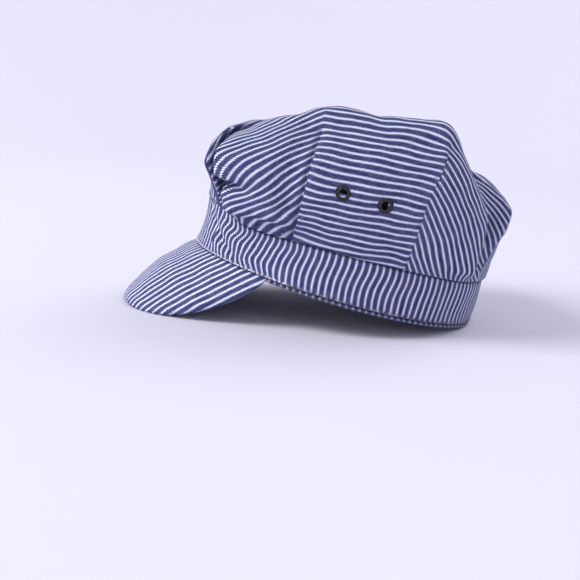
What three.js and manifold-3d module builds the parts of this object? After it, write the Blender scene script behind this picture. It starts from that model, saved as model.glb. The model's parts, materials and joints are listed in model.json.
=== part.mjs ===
// Striped cloth work cap: a soft crown gathered into a straight band, a hem strip, a curved visor
// and four vent eyelets. Millimetres, +Z up, visor towards +X, the wearer's left side towards +Y.
// The cap is worked out upright, with the hem's lower edge at height zero, and is then laid down
// on the visor's edge and the back of the hem, as it rests on a table.
import * as THREE from 'three';
import Module from 'manifold-3d';
import { mergeVertices } from 'three/addons/utils/BufferGeometryUtils.js';

const wasm = await Module();
wasm.setup();

// Band: an egg-shaped ring round the head, measured over its outside
const bandLength = 206;
const bandWidth = 163;
const bandTaper = 0.035;
const bandHeight = 34;
const bandThickness = 2.6;
const hemHeight = 2.4;
const seamGap = 0.35;

// Crown: height above the crown seam, cloth, the edge that is sewn inside the band, and how far the
// top sinks on the right
const crownRise = 97;
const crownCloth = 1.5;
const crownTuck = 6;
const crownSlump = 8;

// Visor: reach from its corners to its tip, fall from its root to its tip, upward curve and cloth
const visorCornerAngle = 64;
const visorReach = 100.5;
const visorDrop = 50;
const visorCrest = 4;
const visorEdgeDrop = 2;
const visorSquareness = 2.5;
const visorEarlyFall = 0.82;
const visorCloth = 1.2;
const visorGap = 0.3;

// Eyelets: rolled metal rings with a flange on both faces of the cloth
const eyeletWidth = 10;
const eyeletBore = 5.4;
const eyeletWall = 0.7;
const eyeletLip = 0.9;
const eyeletGap = 0.35;
const eyeletForward = 13;
const eyeletBack = 15;
const eyeletRise = 39;

const stripeBlue = 0x5a5f8c;
const eyeletBlack = 0x15161c;

// Places along a crown meridian, as shares of its way from the seam to the crown's middle:
// seam, low, belly, shoulder, rim, half way in from the rim, and middle
const crownStations = [0, 0.14, 0.36, 0.62, 0.78, 0.89, 1];

// The crown's middle: forward and sideways shares, then up as a share of crownRise
const crownMiddle = [0, 0, 0.84];
const topSettle = 0.3;

// The top sinks towards the right: all of crownSlump beyond the second share of half bandWidth and none
// before the first, growing along the meridian between the two shares of slumpAlong
const slumpAcross = [-0.45, 0.75];
const slumpAlong = [0.35, 0.8];

// Where the darts end along a meridian: they crease below the first share and are gone above the second
const dartFade = [0.56, 0.74];

// Crown meridians on the left side, from the front's middle round to the back's middle.
// Columns: name, dart seam, angle round the band, seam height as a share of bandHeight, then the points
// low, belly, shoulder and rim, each forward (share of half bandLength), sideways (share of half
// bandWidth) and up from bandHeight (share of crownRise).
const crownRows = [
  ['frontCentre', false, 0, 1.06, [1.02, 0, 0.155], [1.06, 0, 0.30], [0.91, 0, 0.58], [0.66, 0, 0.69]],
  ['frontRidge', true, 29.5, 1.06,
    [0.94, 0.49, 0.14], [1.045, 0.49, 0.30], [0.92, 0.52, 0.585], [0.63, 0.51, 0.725]],
  ['frontValley', false, 37, 1,
    [0.765, 0.60, 0.11], [0.79, 0.63, 0.29], [0.83, 0.65, 0.57], [0.60, 0.59, 0.745]],
  ['frontCrest', false, 46, 0.91,
    [0.80, 0.77, 0.10], [0.955, 0.78, 0.33], [0.865, 0.74, 0.575], [0.595, 0.66, 0.765]],
  ['frontGusset', false, 58, 0.90,
    [0.60, 0.98, 0.115], [0.72, 1.01, 0.37], [0.65, 0.93, 0.69], [0.49, 0.80, 0.815]],
  ['sideFront', true, 69.5, 0.94,
    [0.35, 1.03, 0.145], [0.365, 1.105, 0.43], [0.36, 1.01, 0.765], [0.36, 0.82, 0.905]],
  ['sideMiddle', false, 91, 0.985,
    [-0.02, 1.08, 0.165], [-0.01, 1.14, 0.45], [-0.02, 1.06, 0.785], [0.01, 0.85, 0.945]],
  ['sideRear', true, 112.5, 1,
    [-0.39, 1.045, 0.165], [-0.39, 1.115, 0.495], [-0.42, 1.00, 0.85], [-0.33, 0.79, 1.02]],
  ['rearGusset', false, 130, 1,
    [-0.65, 0.92, 0.145], [-0.64, 0.98, 0.505], [-0.54, 0.865, 0.85], [-0.38, 0.67, 0.985]],
  ['rearCrest', false, 142, 0.985,
    [-0.835, 0.76, 0.135], [-0.805, 0.785, 0.475], [-0.59, 0.73, 0.76], [-0.38, 0.53, 0.905]],
  ['rearValley', false, 149, 0.985,
    [-0.84, 0.62, 0.125], [-0.83, 0.61, 0.475], [-0.66, 0.56, 0.70], [-0.45, 0.45, 0.86]],
  ['rearRidge', true, 155.5, 0.985,
    [-0.92, 0.47, 0.125], [-0.99, 0.49, 0.495], [-0.80, 0.48, 0.69], [-0.54, 0.39, 0.79]],
  ['backCentre', false, 180, 0.985,
    [-1.02, 0, 0.135], [-1.01, 0, 0.495], [-0.85, 0, 0.69], [-0.56, 0, 0.78]],
];

// Folds on the crown, on both sides. Columns: name, start and end, each an angle round the band and a
// share along the meridian, then width, height at the start and height at the end as shares of
// crownRise. A meridian is about crownWay times crownRise long, and the folds fade in and out between
// the given shares of it.
const crownWay = 1.6;
const foldsStart = [0, 0.08];
const foldsEnd = [0.85, 0.95];
const crownFolds = [
  ['pinchUnderPuff', [38, 0.20], [62, 0.30], 0.045, -0.06, -0.025],
  ['rollOverBand', [42, 0.09], [66, 0.14], 0.045, 0.03, 0.02],
  ['hollowBySeam', [63, 0.30], [67, 0.60], 0.06, -0.03, -0.03],
  ['rearSlack', [120, 0.12], [150, 0.10], 0.06, 0.02, 0.02],
];

// Band sections. Columns: name, angle, then how far the outside stands out at the bottom, lower,
// upper and top heights, as shares of bandThickness.
const bandSections = [
  ['front', 0, 0.25, -0.3, -0.4, 0],
  ['frontSide', 40, 0.15, -0.25, -0.2, 0],
  ['side', 80, 0, 0.1, 0.15, 0],
  ['rearSide', 130, 0, 0.4, 0.35, 0],
  ['back', 180, 0, 0.35, 0.3, 0],
];
const bandShares = [0, 1 / 3, 2 / 3, 1];

// Facets between two crown rows, from the front's middle to the back's middle
const facetsBetweenRows = [4, 2, 3, 3, 3, 4, 4, 3, 3, 2, 2, 3];
const crownSteps = 17;
const bandSteps = 4;
const hemStep = 5;
const visorColumns = 28;
const visorShares = [0, 0.07, 0.18, 0.34, 0.5, 0.66, 0.83, 1];
const eyeletSides = 20;

// A meridian is shaped by the rows within this angle of it, and its outward direction by small steps
const rowsNear = 75;
const probeShare = 0.004;
const probeAngle = 1;

const deg = Math.PI / 180;
const halfLength = bandLength / 2;
const halfWidth = bandWidth / 2;
const bandFoot = hemHeight + seamGap;
const add = (a, b, k = 1) => a.map((value, i) => value + b[i] * k);
const mix = (a, b, k) => a.map((value, i) => value * (1 - k) + b[i] * k);
const cross = (a, b) => [a[1] * b[2] - a[2] * b[1], a[2] * b[0] - a[0] * b[2], a[0] * b[1] - a[1] * b[0]];
const unit = (a) => a.map((value) => value / Math.hypot(...a));
const smoothStep = (low, high, x) => THREE.MathUtils.smoothstep(x, low, high);

// A smooth curve through the points at the places xs, read at x. Slopes come from the neighbours.
function through(xs, points, x) {
  const last = xs.length - 1;
  let i = 0;
  while (i < last - 1 && x > xs[i + 1]) i += 1;
  const steep = (k) => add(points[k + 1], points[k], -1).map((value) => value / (xs[k + 1] - xs[k]));
  const inner = (k) => mix(steep(k - 1), steep(k), (xs[k] - xs[k - 1]) / (xs[k + 1] - xs[k - 1]));
  const slope = (k) => {
    if (k === 0) return mix(steep(0), inner(1), -0.5);
    if (k === last) return mix(steep(last - 1), inner(last - 1), -0.5);
    return inner(k);
  };
  const span = xs[i + 1] - xs[i];
  const f = (x - xs[i]) / span;
  const parts = [
    [points[i], 2 * f ** 3 - 3 * f ** 2 + 1],
    [slope(i), span * (f ** 3 - 2 * f ** 2 + f)],
    [points[i + 1], 3 * f ** 2 - 2 * f ** 3],
    [slope(i + 1), span * (f ** 3 - f ** 2)],
  ];
  return points[i].map((unused, axis) => parts.reduce((sum, [p, k]) => sum + p[axis] * k, 0));
}

// The band's outside line at an angle, moved out by a distance, at a height
function oval(angle, out, height) {
  const c = Math.cos(angle * deg);
  const s = Math.sin(angle * deg);
  return [(halfLength + out) * c, (halfWidth + out) * s * (1 - bandTaper * c), height];
}

// Half way from a rim point to the crown's middle, where the top has settled to nearly level
function halfWayIn(rim) {
  const [x, y] = mix(rim, crownMiddle, 0.5);
  return [x, y, crownMiddle[2] + topSettle * (rim[2] - crownMiddle[2])];
}

// The left rows and their mirror images, as one ring of angles and meridian points
function ringOfRows() {
  const left = crownRows.map(([name, dart, angle, seam, ...points]) => ({
    dart,
    angle,
    points: [
      oval(angle, 0, seam * bandHeight),
      ...[...points, halfWayIn(points.at(-1)), crownMiddle].map(([x, y, z]) => [
        x * halfLength, y * halfWidth, bandHeight + z * crownRise]),
    ],
  }));
  const right = left.slice(1, -1).reverse().map((row) => ({
    dart: row.dart,
    angle: 360 - row.angle,
    points: row.points.map(([x, y, z]) => [x, -y, z]),
  }));
  return [...left, ...right];
}

const ring = ringOfRows();
const turned = (rows, turn) => rows.map((row) => ({ ...row, angle: row.angle + turn }));
const endless = [...turned(ring, -360), ...ring, ...turned(ring, 360)];
const darts = endless.filter((row) => row.dart);

// How far the band's outside stands out from the oval at an angle and a share of its height
function bandOut(angle, share) {
  const side = angle > 180 ? 360 - angle : angle;
  const angles = bandSections.map((section) => section[1]);
  const outs = through(angles, bandSections.map((section) => section.slice(2)), side);
  return through(bandShares, outs.map((out) => [out]), share)[0] * bandThickness;
}

// The crown's outside at an angle and a share along the meridian, before its folds
function crownShape(angle, share) {
  const at = (rows) => through(
    rows.map((row) => row.angle),
    rows.map((row) => through(crownStations, row.points, share)),
    angle,
  );
  const near = endless.filter((row) => Math.abs(row.angle - angle) < rowsNear);
  const flow = smoothStep(dartFade[0], dartFade[1], share);
  const before = darts.filter((row) => row.angle <= angle).pop();
  const after = darts.find((row) => row.angle > angle);
  const panel = endless.filter((row) => row.angle >= before.angle && row.angle <= after.angle);
  const point = mix(at(panel), at(near), flow);
  const sunk = smoothStep(...slumpAcross, -point[1] / halfWidth) * smoothStep(...slumpAlong, share);
  return add(point, [0, 0, -crownSlump], sunk);
}

// Height of the crown seam round the band
const seamHeight = (angle) => crownShape(angle, 0)[2];

// Outward direction of the crown's outside, from small steps along and across the meridians
function crownOutward(angle, share) {
  const up = Math.min(share + probeShare, 1 - probeShare);
  const along = add(crownShape(angle, up), crownShape(angle, up - 2 * probeShare), -1);
  const across = add(crownShape(angle + probeAngle, up), crownShape(angle - probeAngle, up), -1);
  return unit(cross(across, along));
}

// Height of all the folds at a place on the crown: each is a soft ridge along its line
function foldHeight(angle, share) {
  const side = angle > 180 ? 360 - angle : angle;
  const wayUp = crownRise * crownWay;
  const here = [side * deg * halfWidth, share * wayUp];
  return crownFolds.reduce((sum, [name, from, to, width, heightFrom, heightTo]) => {
    const a = [from[0] * deg * halfWidth, from[1] * wayUp];
    const b = [to[0] * deg * halfWidth, to[1] * wayUp];
    const line = add(b, a, -1);
    const reach = add(here, a, -1);
    const way = (reach[0] * line[0] + reach[1] * line[1]) / (line[0] ** 2 + line[1] ** 2);
    const along = THREE.MathUtils.clamp(way, 0, 1);
    const off = Math.hypot(...add(here, add(a, line, along), -1)) / (width * crownRise);
    return sum + THREE.MathUtils.lerp(heightFrom, heightTo, along) * crownRise * Math.exp(-(off ** 2));
  }, 0);
}

// The crown's outside with its folds. It starts right over the band's outside line, and the folds
// fade out at the seam and at the crown's middle.
function crownPoint(angle, share) {
  const seam = crownShape(angle, 0);
  const toBand = add(oval(angle, 0, seam[2]), seam, -1);
  const shape = add(crownShape(angle, share), toBand, 1 - smoothStep(0, crownStations[1], share));
  const fade = smoothStep(...foldsStart, share) * (1 - smoothStep(...foldsEnd, share));
  return add(shape, crownOutward(angle, share), foldHeight(angle, share) * fade);
}

// Column angles all round: the rows themselves and the facets between them, the same on both sides
function columnAngles() {
  const left = crownRows.slice(0, -1).flatMap((row, i) => {
    const step = (crownRows[i + 1][2] - row[2]) / facetsBetweenRows[i];
    return Array.from({ length: facetsBetweenRows[i] }, (unused, k) => row[2] + k * step);
  });
  return [...left, 180, ...left.slice(1).reverse().map((angle) => 360 - angle)];
}

const columns = columnAngles();
const evenly = (count) => Array.from({ length: count + 1 }, (unused, k) => k / count);

// A grid is a list of columns, each a list of points. Its triangles are one long list of corners.
function gridFaces(grid, wraps) {
  const joins = wraps ? grid.length : grid.length - 1;
  const corners = [];
  for (let i = 0; i < joins; i += 1) {
    const a = grid[i];
    const b = grid[(i + 1) % grid.length];
    for (let j = 0; j < a.length - 1; j += 1) {
      corners.push(a[j], b[j], b[j + 1], a[j], b[j + 1], a[j + 1]);
    }
  }
  return corners;
}

// Corners to a geometry with shared points, without the triangles that have no area
function geometryOf(corners) {
  const raw = new THREE.BufferGeometry();
  raw.setAttribute('position', new THREE.Float32BufferAttribute(corners.flat(), 3));
  const merged = mergeVertices(raw, 1e-3);
  const index = merged.getIndex().array;
  const kept = [];
  for (let k = 0; k < index.length; k += 3) {
    const [a, b, c] = [index[k], index[k + 1], index[k + 2]];
    if (a !== b && b !== c && c !== a) kept.push(a, b, c);
  }
  merged.setIndex(kept);
  return merged;
}

// Outward unit normals of a grid's points, between the directions to their neighbours. Where all
// columns meet in one point it is straight up.
function gridNormals(grid, wraps) {
  const last = grid.length - 1;
  const columnAt = (i) => (wraps ? grid.at(i % grid.length) : grid[THREE.MathUtils.clamp(i, 0, last)]);
  const rowAt = (column, j) => column[THREE.MathUtils.clamp(j, 0, column.length - 1)];
  const between = (before, here, after) => {
    const steps = [add(here, before, -1), add(after, here, -1)].filter((step) => Math.hypot(...step) > 0);
    return steps.map(unit).reduce((sum, step) => add(sum, step), [0, 0, 0]);
  };
  return grid.map((column, i) => column.map((point, j) => {
    const across = between(columnAt(i - 1)[j], point, columnAt(i + 1)[j]);
    const along = between(rowAt(column, j - 1), point, rowAt(column, j + 1));
    const normal = cross(across, along);
    return Math.hypot(...normal) > 0 ? unit(normal) : [0, 0, 1];
  }));
}

const offsetGrid = (grid, directions, distance) => grid.map(
  (column, i) => column.map((point, j) => add(point, directions[i][j], distance)));

// A closed wall between an outer and an inner grid, with its rims and, where it is open, its end faces
function wall(outer, inner, wraps) {
  const rim = (j) => outer.map((column, i) => [inner[i].at(j), column.at(j)]);
  const end = (i) => outer.at(i).map((point, j) => [point, inner.at(i)[j]]);
  const corners = [
    ...gridFaces(outer, wraps),
    ...gridFaces(inner, wraps).reverse(),
    ...gridFaces(rim(0), wraps),
    ...gridFaces(rim(-1), wraps).reverse(),
  ];
  if (!wraps) corners.push(...gridFaces(end(0), false), ...gridFaces(end(-1), false).reverse());
  return geometryOf(corners);
}

// A geometry as a solid for cutting, and a cut solid back as a geometry
function toSolid(geometry) {
  const bare = geometry.clone();
  bare.deleteAttribute('normal');
  bare.deleteAttribute('uv');
  const merged = mergeVertices(bare, 1e-3);
  return new wasm.Manifold(new wasm.Mesh({
    numProp: 3,
    vertProperties: new Float32Array(merged.getAttribute('position').array),
    triVerts: new Uint32Array(merged.getIndex().array),
  }));
}

function fromSolid(solid) {
  const mesh = solid.getMesh();
  const geometry = new THREE.BufferGeometry();
  geometry.setAttribute('position', new THREE.BufferAttribute(mesh.vertProperties, 3));
  geometry.setIndex(new THREE.BufferAttribute(mesh.triVerts, 1));
  return geometry;
}

// Crown: its lower edge stands inside the band, turns out over the band's top and rises from there
function crownGeometry() {
  const outer = columns.map((angle) => {
    const seam = seamHeight(angle);
    const inside = bandOut(angle, 1) - bandThickness - seamGap;
    const below = bandOut(angle, 1 - crownTuck / bandHeight) - bandThickness - seamGap;
    return [
      oval(angle, below, seam - crownTuck),
      oval(angle, inside, seam),
      ...evenly(crownSteps).map((share) => crownPoint(angle, share)),
    ];
  });
  return wall(outer, offsetGrid(outer, gridNormals(outer, true), -crownCloth), true);
}

// Band: from the hem's top to just under the crown's edge
function bandGeometry() {
  const ringAt = (back) => columns.map((angle) => {
    const top = seamHeight(angle) - seamGap;
    return evenly(bandSteps).map((share) => oval(
      angle, bandOut(angle, share) - back, bandFoot + share * (top - bandFoot)));
  });
  return wall(ringAt(0), ringAt(bandThickness), true);
}

// Hem: a flat-bottomed strip under the band, from one visor corner round the back to the other
function hemGeometry() {
  const start = visorCornerAngle + seamGap / (halfWidth * deg);
  const steps = Math.round((180 - start) / hemStep);
  const angles = evenly(2 * steps).map((share) => start + share * (360 - 2 * start));
  const strip = (back) => angles.map((angle) => [oval(angle, -back, 0), oval(angle, -back, hemHeight)]);
  return wall(strip(0), strip(bandThickness), false);
}

// Visor surface from its root at the band's foot (share 0) to its edge (share 1), side from -1 to 1
function visorPoint(side, share) {
  const root = oval(side * visorCornerAngle, 0, hemHeight);
  const corner = oval(visorCornerAngle, 0, hemHeight - visorEdgeDrop);
  const sideways = Math.sin(side * 90 * deg);
  const reach = (1 - Math.abs(sideways) ** visorSquareness) ** (1 / visorSquareness);
  const edge = [
    corner[0] + visorReach * reach,
    corner[1] * sideways,
    corner[2] - visorDrop * Math.sin(reach ** visorEarlyFall * 90 * deg),
  ];
  const lift = visorCrest * Math.sin(share * 180 * deg) * (1 - side * side);
  return add(mix(root, edge, share), unit([1, 0, 1]), lift);
}

// The visor's two cloths share one surface: each is a layer of it, level with the band at the root
function visorLayers() {
  const sides = evenly(visorColumns).map((share) => 1 - 2 * share);
  const grid = sides.map((side) => visorShares.map((share) => visorPoint(side, share)));
  const normals = gridNormals(grid, false);
  const directions = normals.map((column, i) => column.map((normal, j) => {
    const angle = sides[i] * visorCornerAngle;
    const outward = unit(add(oval(angle, 1, 0), oval(angle, 0, 0), -1));
    return unit(mix(outward, normal, smoothStep(0, visorShares[2], visorShares[j])));
  }));
  const layer = (depth) => wall(
    offsetGrid(grid, directions, -depth), offsetGrid(grid, directions, -depth - visorCloth), false);
  return [layer(0), layer(visorCloth + visorGap)];
}

// Where an eyelet sits: the place on the crown at a forward distance and height, found by halving
function eyeletPlace(forward, rise) {
  const halve = (low, high, tooLow) => {
    let [a, b] = [low, high];
    for (let k = 0; k < 24; k += 1) {
      const middle = (a + b) / 2;
      if (tooLow(middle)) a = middle;
      else b = middle;
    }
    return (a + b) / 2;
  };
  const shareAt = (angle) => halve(0.02, 0.6, (share) => crownPoint(angle, share)[2] < bandHeight + rise);
  const angle = halve(70, 112, (guess) => crownPoint(guess, shareAt(guess))[0] > forward);
  const share = shareAt(angle);
  return { place: crownPoint(angle, share), outward: crownOutward(angle, share) };
}

// Eyelet: a short tube through the cloth with a rounded flange on each face, its axis outward along +Y
function eyeletGeometry() {
  const bore = eyeletBore / 2;
  const tube = bore + eyeletWall;
  const flange = eyeletWidth / 2;
  const under = -crownCloth - eyeletGap;
  const profile = [
    [bore, under - eyeletLip * 0.6],
    [bore + eyeletWall * 0.5, under - eyeletLip],
    [flange - eyeletWall, under - eyeletLip],
    [flange, under],
    [tube, under],
    [tube, eyeletGap],
    [flange, eyeletGap],
    [flange - eyeletWall, eyeletGap + eyeletLip],
    [bore + eyeletWall * 0.5, eyeletGap + eyeletLip],
    [bore, eyeletGap + eyeletLip * 0.6],
  ];
  const points = [...profile, profile[0]].map(([r, y]) => new THREE.Vector2(r, y));
  return new THREE.LatheGeometry(points, eyeletSides);
}

function eyeletHole(matrix) {
  const radius = eyeletBore / 2 + eyeletWall + eyeletGap;
  const cutter = new THREE.CylinderGeometry(radius, radius, 8 * crownCloth, eyeletSides);
  return toSolid(cutter.applyMatrix4(matrix));
}

function piece(name, geometry, color, roughness = 0.9, metalness = 0) {
  const material = new THREE.MeshStandardMaterial({ color, roughness, metalness });
  const mesh = new THREE.Mesh(geometry, material);
  mesh.name = name;
  return mesh;
}

const upright = new THREE.Group();
const [visorTop, visorUnder] = visorLayers();
upright.add(
  piece('band', bandGeometry(), stripeBlue),
  piece('band_hem', hemGeometry(), stripeBlue),
  piece('visor_top', visorTop, stripeBlue),
  piece('visor_under', visorUnder, stripeBlue),
);

// Eyelets: two through each side panel, level with each other, and the holes that they need
let crown = toSolid(crownGeometry());
for (const [row, forward] of [['front', eyeletForward], ['rear', -eyeletBack]]) {
  const { place, outward } = eyeletPlace(forward, eyeletRise);
  for (const [sideName, side] of [['left', 1], ['right', -1]]) {
    const eyelet = piece(`eyelet_${sideName}_${row}`, eyeletGeometry(), eyeletBlack, 0.35, 0.6);
    eyelet.position.set(place[0], place[1] * side, place[2]);
    const axis = new THREE.Vector3(outward[0], outward[1] * side, outward[2]);
    eyelet.quaternion.setFromUnitVectors(new THREE.Vector3(0, 1, 0), axis);
    eyelet.updateMatrix();
    crown = crown.subtract(eyeletHole(eyelet.matrix));
    upright.add(eyelet);
  }
}
upright.add(piece('crown', fromSolid(crown), stripeBlue));

// At rest the cap leans on the visor's lowest edge and on the back of the hem
const visorPlaces = visorUnder.getAttribute('position');
const leans = Array.from({ length: visorPlaces.count }, (unused, i) => Math.atan2(
  -visorPlaces.getZ(i), visorPlaces.getX(i) + halfLength));
upright.rotation.y = -Math.max(...leans);

// The origin is on the table, under the middle of the cap
const cap = new THREE.Group();
cap.add(upright);
cap.updateMatrixWorld(true);
const box = new THREE.Box3().setFromObject(cap, true);
const middle = box.getCenter(new THREE.Vector3());
upright.position.set(-middle.x, -middle.y, -box.min.z);

export default cap;
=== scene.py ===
# Striped cloth work cap: crown, band, hem, visor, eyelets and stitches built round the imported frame.
import json
import math
import bpy
import numpy as np
from mathutils import Matrix, Vector


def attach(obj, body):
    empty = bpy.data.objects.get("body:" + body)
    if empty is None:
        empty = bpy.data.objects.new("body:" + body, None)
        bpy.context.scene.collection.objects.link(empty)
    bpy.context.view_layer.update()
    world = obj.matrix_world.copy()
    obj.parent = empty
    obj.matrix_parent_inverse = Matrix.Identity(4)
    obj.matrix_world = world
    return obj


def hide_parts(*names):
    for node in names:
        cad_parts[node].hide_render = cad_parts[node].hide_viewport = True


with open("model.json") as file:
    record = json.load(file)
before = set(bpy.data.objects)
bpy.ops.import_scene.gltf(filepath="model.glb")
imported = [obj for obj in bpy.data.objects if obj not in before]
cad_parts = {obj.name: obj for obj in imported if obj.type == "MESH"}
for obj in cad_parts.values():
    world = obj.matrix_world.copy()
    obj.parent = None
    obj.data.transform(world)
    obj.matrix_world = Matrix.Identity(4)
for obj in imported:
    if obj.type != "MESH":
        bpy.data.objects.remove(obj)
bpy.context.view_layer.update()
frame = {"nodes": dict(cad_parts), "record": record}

deg = math.pi / 180

# Shapes are worked out upright in mm (visor forward +X, left +Y, hem's foot at height 0), and toRow
# lays them down as the frame does: the hem rest's axis gives the lean, its place gives the shift.
hemRest = frame["record"]["mounts"][0]
lean = math.atan2(hemRest["axis"][0], -hemRest["axis"][2])
restPoint = np.array([-101.7, 0.0, 0.0])   # the hem rest on the upright cap


def layDown(points):  # turn about the sideways axis by the lean: x' = x cos - z sin, z' = x sin + z cos
    x, y, z = np.moveaxis(np.asarray(points, float), -1, 0)
    c, s = math.cos(lean), math.sin(lean)
    return np.stack([x * c - z * s, y, x * s + z * c], -1)


restShift = np.array(hemRest["pos_m"]) * 1000 - layDown(restPoint)


def toRow(points):  # upright mm to the frame's metres: x' = (layDown x + shift) / 1000
    return (layDown(points) + restShift) / 1000


# the photo's viewpoint on the upright cap
print("camera")
cameraView = {
    "target": (28.0, 0.0, -15.8),   # upright mm
    "elevation": 12.0,
    "distance": 738.0,
    "roll": 16.3,
    "pixelsPerTangent": 1000.0,
    "imageWidth": 580.0,
}


def makeCamera(c):
    # eye = target + distance (0, cos elevation, sin elevation), looking at the target, then rolled
    el, roll = c["elevation"] * deg, c["roll"] * deg
    back = np.array([0.0, math.cos(el), math.sin(el)])
    eye = np.array(c["target"]) + back * c["distance"]
    right = np.cross(-back, (0, 0, 1.0))
    right /= np.linalg.norm(right)
    up = np.cross(right, -back)
    c1, s1 = math.cos(roll), math.sin(roll)
    right, up = c1 * right + s1 * up, c1 * up - s1 * right
    data = bpy.data.cameras.new("view")
    data.sensor_width = 36
    data.lens = c["pixelsPerTangent"] / c["imageWidth"] * 36
    data.clip_start, data.clip_end = 0.01, 50
    camera = bpy.data.objects.new("view", data)
    bpy.context.scene.collection.objects.link(camera)
    matrix = np.eye(4)
    matrix[:3, :3] = layDown(np.stack([right, up, back])).T
    matrix[:3, 3] = toRow(eye)
    camera.matrix_world = Matrix(matrix.tolist())
    bpy.context.scene.camera = camera


makeCamera(cameraView)


# curves, grids and meshes
def smoothCurve(xs, values, x):
    # cubic through values at xs, read at x: slopes are the neighbours' steepness weighted by spacing
    xs, values, x = np.asarray(xs, float), np.asarray(values, float), np.asarray(x, float)
    wide = (-1,) + (1,) * (values.ndim - 1)
    gap = np.diff(xs).reshape(wide)
    steep = np.diff(values, axis=0) / gap
    slope = np.empty_like(values)
    slope[1:-1] = (steep[:-1] * gap[1:] + steep[1:] * gap[:-1]) / (gap[:-1] + gap[1:])
    slope[0] = 1.5 * steep[0] - 0.5 * slope[1]
    slope[-1] = 1.5 * steep[-1] - 0.5 * slope[-2]
    i = np.clip(np.searchsorted(xs, x, side="right") - 1, 0, len(xs) - 2)
    span = gap[i]
    f = ((x - xs[i]).reshape(wide)) / span
    return ((2 * f**3 - 3 * f**2 + 1) * values[i] + span * (f**3 - 2 * f**2 + f) * slope[i]
            + (3 * f**2 - 2 * f**3) * values[i + 1] + span * (f**3 - f**2) * slope[i + 1])


def smoothStep(low, high, x):  # t t (3 - 2 t), t = (x - low) / (high - low) held in 0 to 1
    t = np.clip((x - low) / (high - low), 0, 1)
    return t * t * (3 - 2 * t)


def hump(x, middle, width):  # exp(-((x - middle) / width)^2)
    return np.exp(-((x - middle) / width) ** 2)


def unit(v):  # v / length of v
    return v / np.maximum(np.linalg.norm(v, axis=-1, keepdims=True), 1e-12)


def fromFront(angle):  # degrees from the front, alike on both sides: min(a, 360 - a)
    wrapped = np.mod(angle, 360)
    return np.minimum(wrapped, 360 - wrapped)


def runUp(grid):  # distance up the rows from the first: sum of the steps' lengths
    steps = np.linalg.norm(np.diff(grid, axis=1), axis=-1)
    return np.concatenate([np.zeros((len(grid), 1)), np.cumsum(steps, 1)], 1)


def clothSlack(places, amount, wavelengths, seed):
    # amount / sqrt(n) times the sum of n sine waves of random direction and phase over the flat cloth
    rng = np.random.default_rng(seed)
    total = np.zeros(places.shape[:-1])
    for wavelength in wavelengths:
        turn, phase = rng.uniform(0, math.pi), rng.uniform(0, 2 * math.pi)
        k = 2 * math.pi / wavelength
        total += np.sin(k * (places[..., 0] * math.cos(turn) + places[..., 1] * math.sin(turn)) + phase)
    return total * amount / math.sqrt(len(wavelengths))


def softRidges(angle, share, folds, around, upward):
    # sum of ridges over lines on the cloth: height exp(-(distance to the line / width)^2), the height
    # running evenly from start to end. around and upward are the mm of a radian and of a whole share.
    x, y = fromFront(angle) * deg * around, share * upward
    total = np.zeros(np.broadcast(x, y).shape)
    for start, end, width, startHeight, endHeight in folds:
        ax, ay = start[0] * deg * around, start[1] * upward
        dx, dy = end[0] * deg * around - ax, end[1] * upward - ay
        t = np.clip(((x - ax) * dx + (y - ay) * dy) / (dx * dx + dy * dy), 0, 1)
        off = np.hypot(x - ax - t * dx, y - ay - t * dy) / width
        total = total + (startHeight + (endHeight - startHeight) * t) * np.exp(-off**2)
    return total


def gridNormals(grid, around):
    # cross product of the unit steps across the columns and along the rows, neighbours on both sides
    if around:
        before, after = np.roll(grid, 1, 0), np.roll(grid, -1, 0)
    else:
        before = np.concatenate([grid[:1], grid[:-1]])
        after = np.concatenate([grid[1:], grid[-1:]])
    across = unit(grid - before) + unit(after - grid)
    low = np.concatenate([grid[:, :1], grid[:, :-1]], 1)
    high = np.concatenate([grid[:, 1:], grid[:, -1:]], 1)
    along = unit(grid - low) + unit(high - grid)
    return unit(np.cross(across, along))


def flat32(values):  # one row of single precision numbers, as a mesh takes them
    return np.asarray(values, np.float32).ravel()


def putMesh(name, points, faces, corners, attributes=()):
    # points in upright mm; faces is a list of index arrays, corners the matching list of uv arrays
    mesh = bpy.data.meshes.new(name)
    loops = np.concatenate([f.ravel() for f in faces]).astype(np.int32)
    sizes = np.concatenate([np.full(len(f), f.shape[1]) for f in faces])
    starts = np.concatenate([[0], np.cumsum(sizes)[:-1]]).astype(np.int32)
    mesh.vertices.add(len(points))
    mesh.vertices.foreach_set("co", flat32(toRow(points)))
    mesh.loops.add(len(loops))
    mesh.loops.foreach_set("vertex_index", loops)
    mesh.polygons.add(len(sizes))
    mesh.polygons.foreach_set("loop_start", starts)
    mesh.update(calc_edges=True)
    cornerPlaces = np.concatenate([c.reshape(-1, 2) for c in corners])
    mesh.uv_layers.new(name="cloth").data.foreach_set("uv", flat32(cornerPlaces))
    for label, values in attributes:
        mesh.attributes.new(label, "FLOAT", "POINT").data.foreach_set("value", flat32(values))
    mesh.shade_smooth()
    mesh.validate()
    obj = bpy.data.objects.new(name, mesh)
    bpy.context.scene.collection.objects.link(obj)
    return obj


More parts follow.
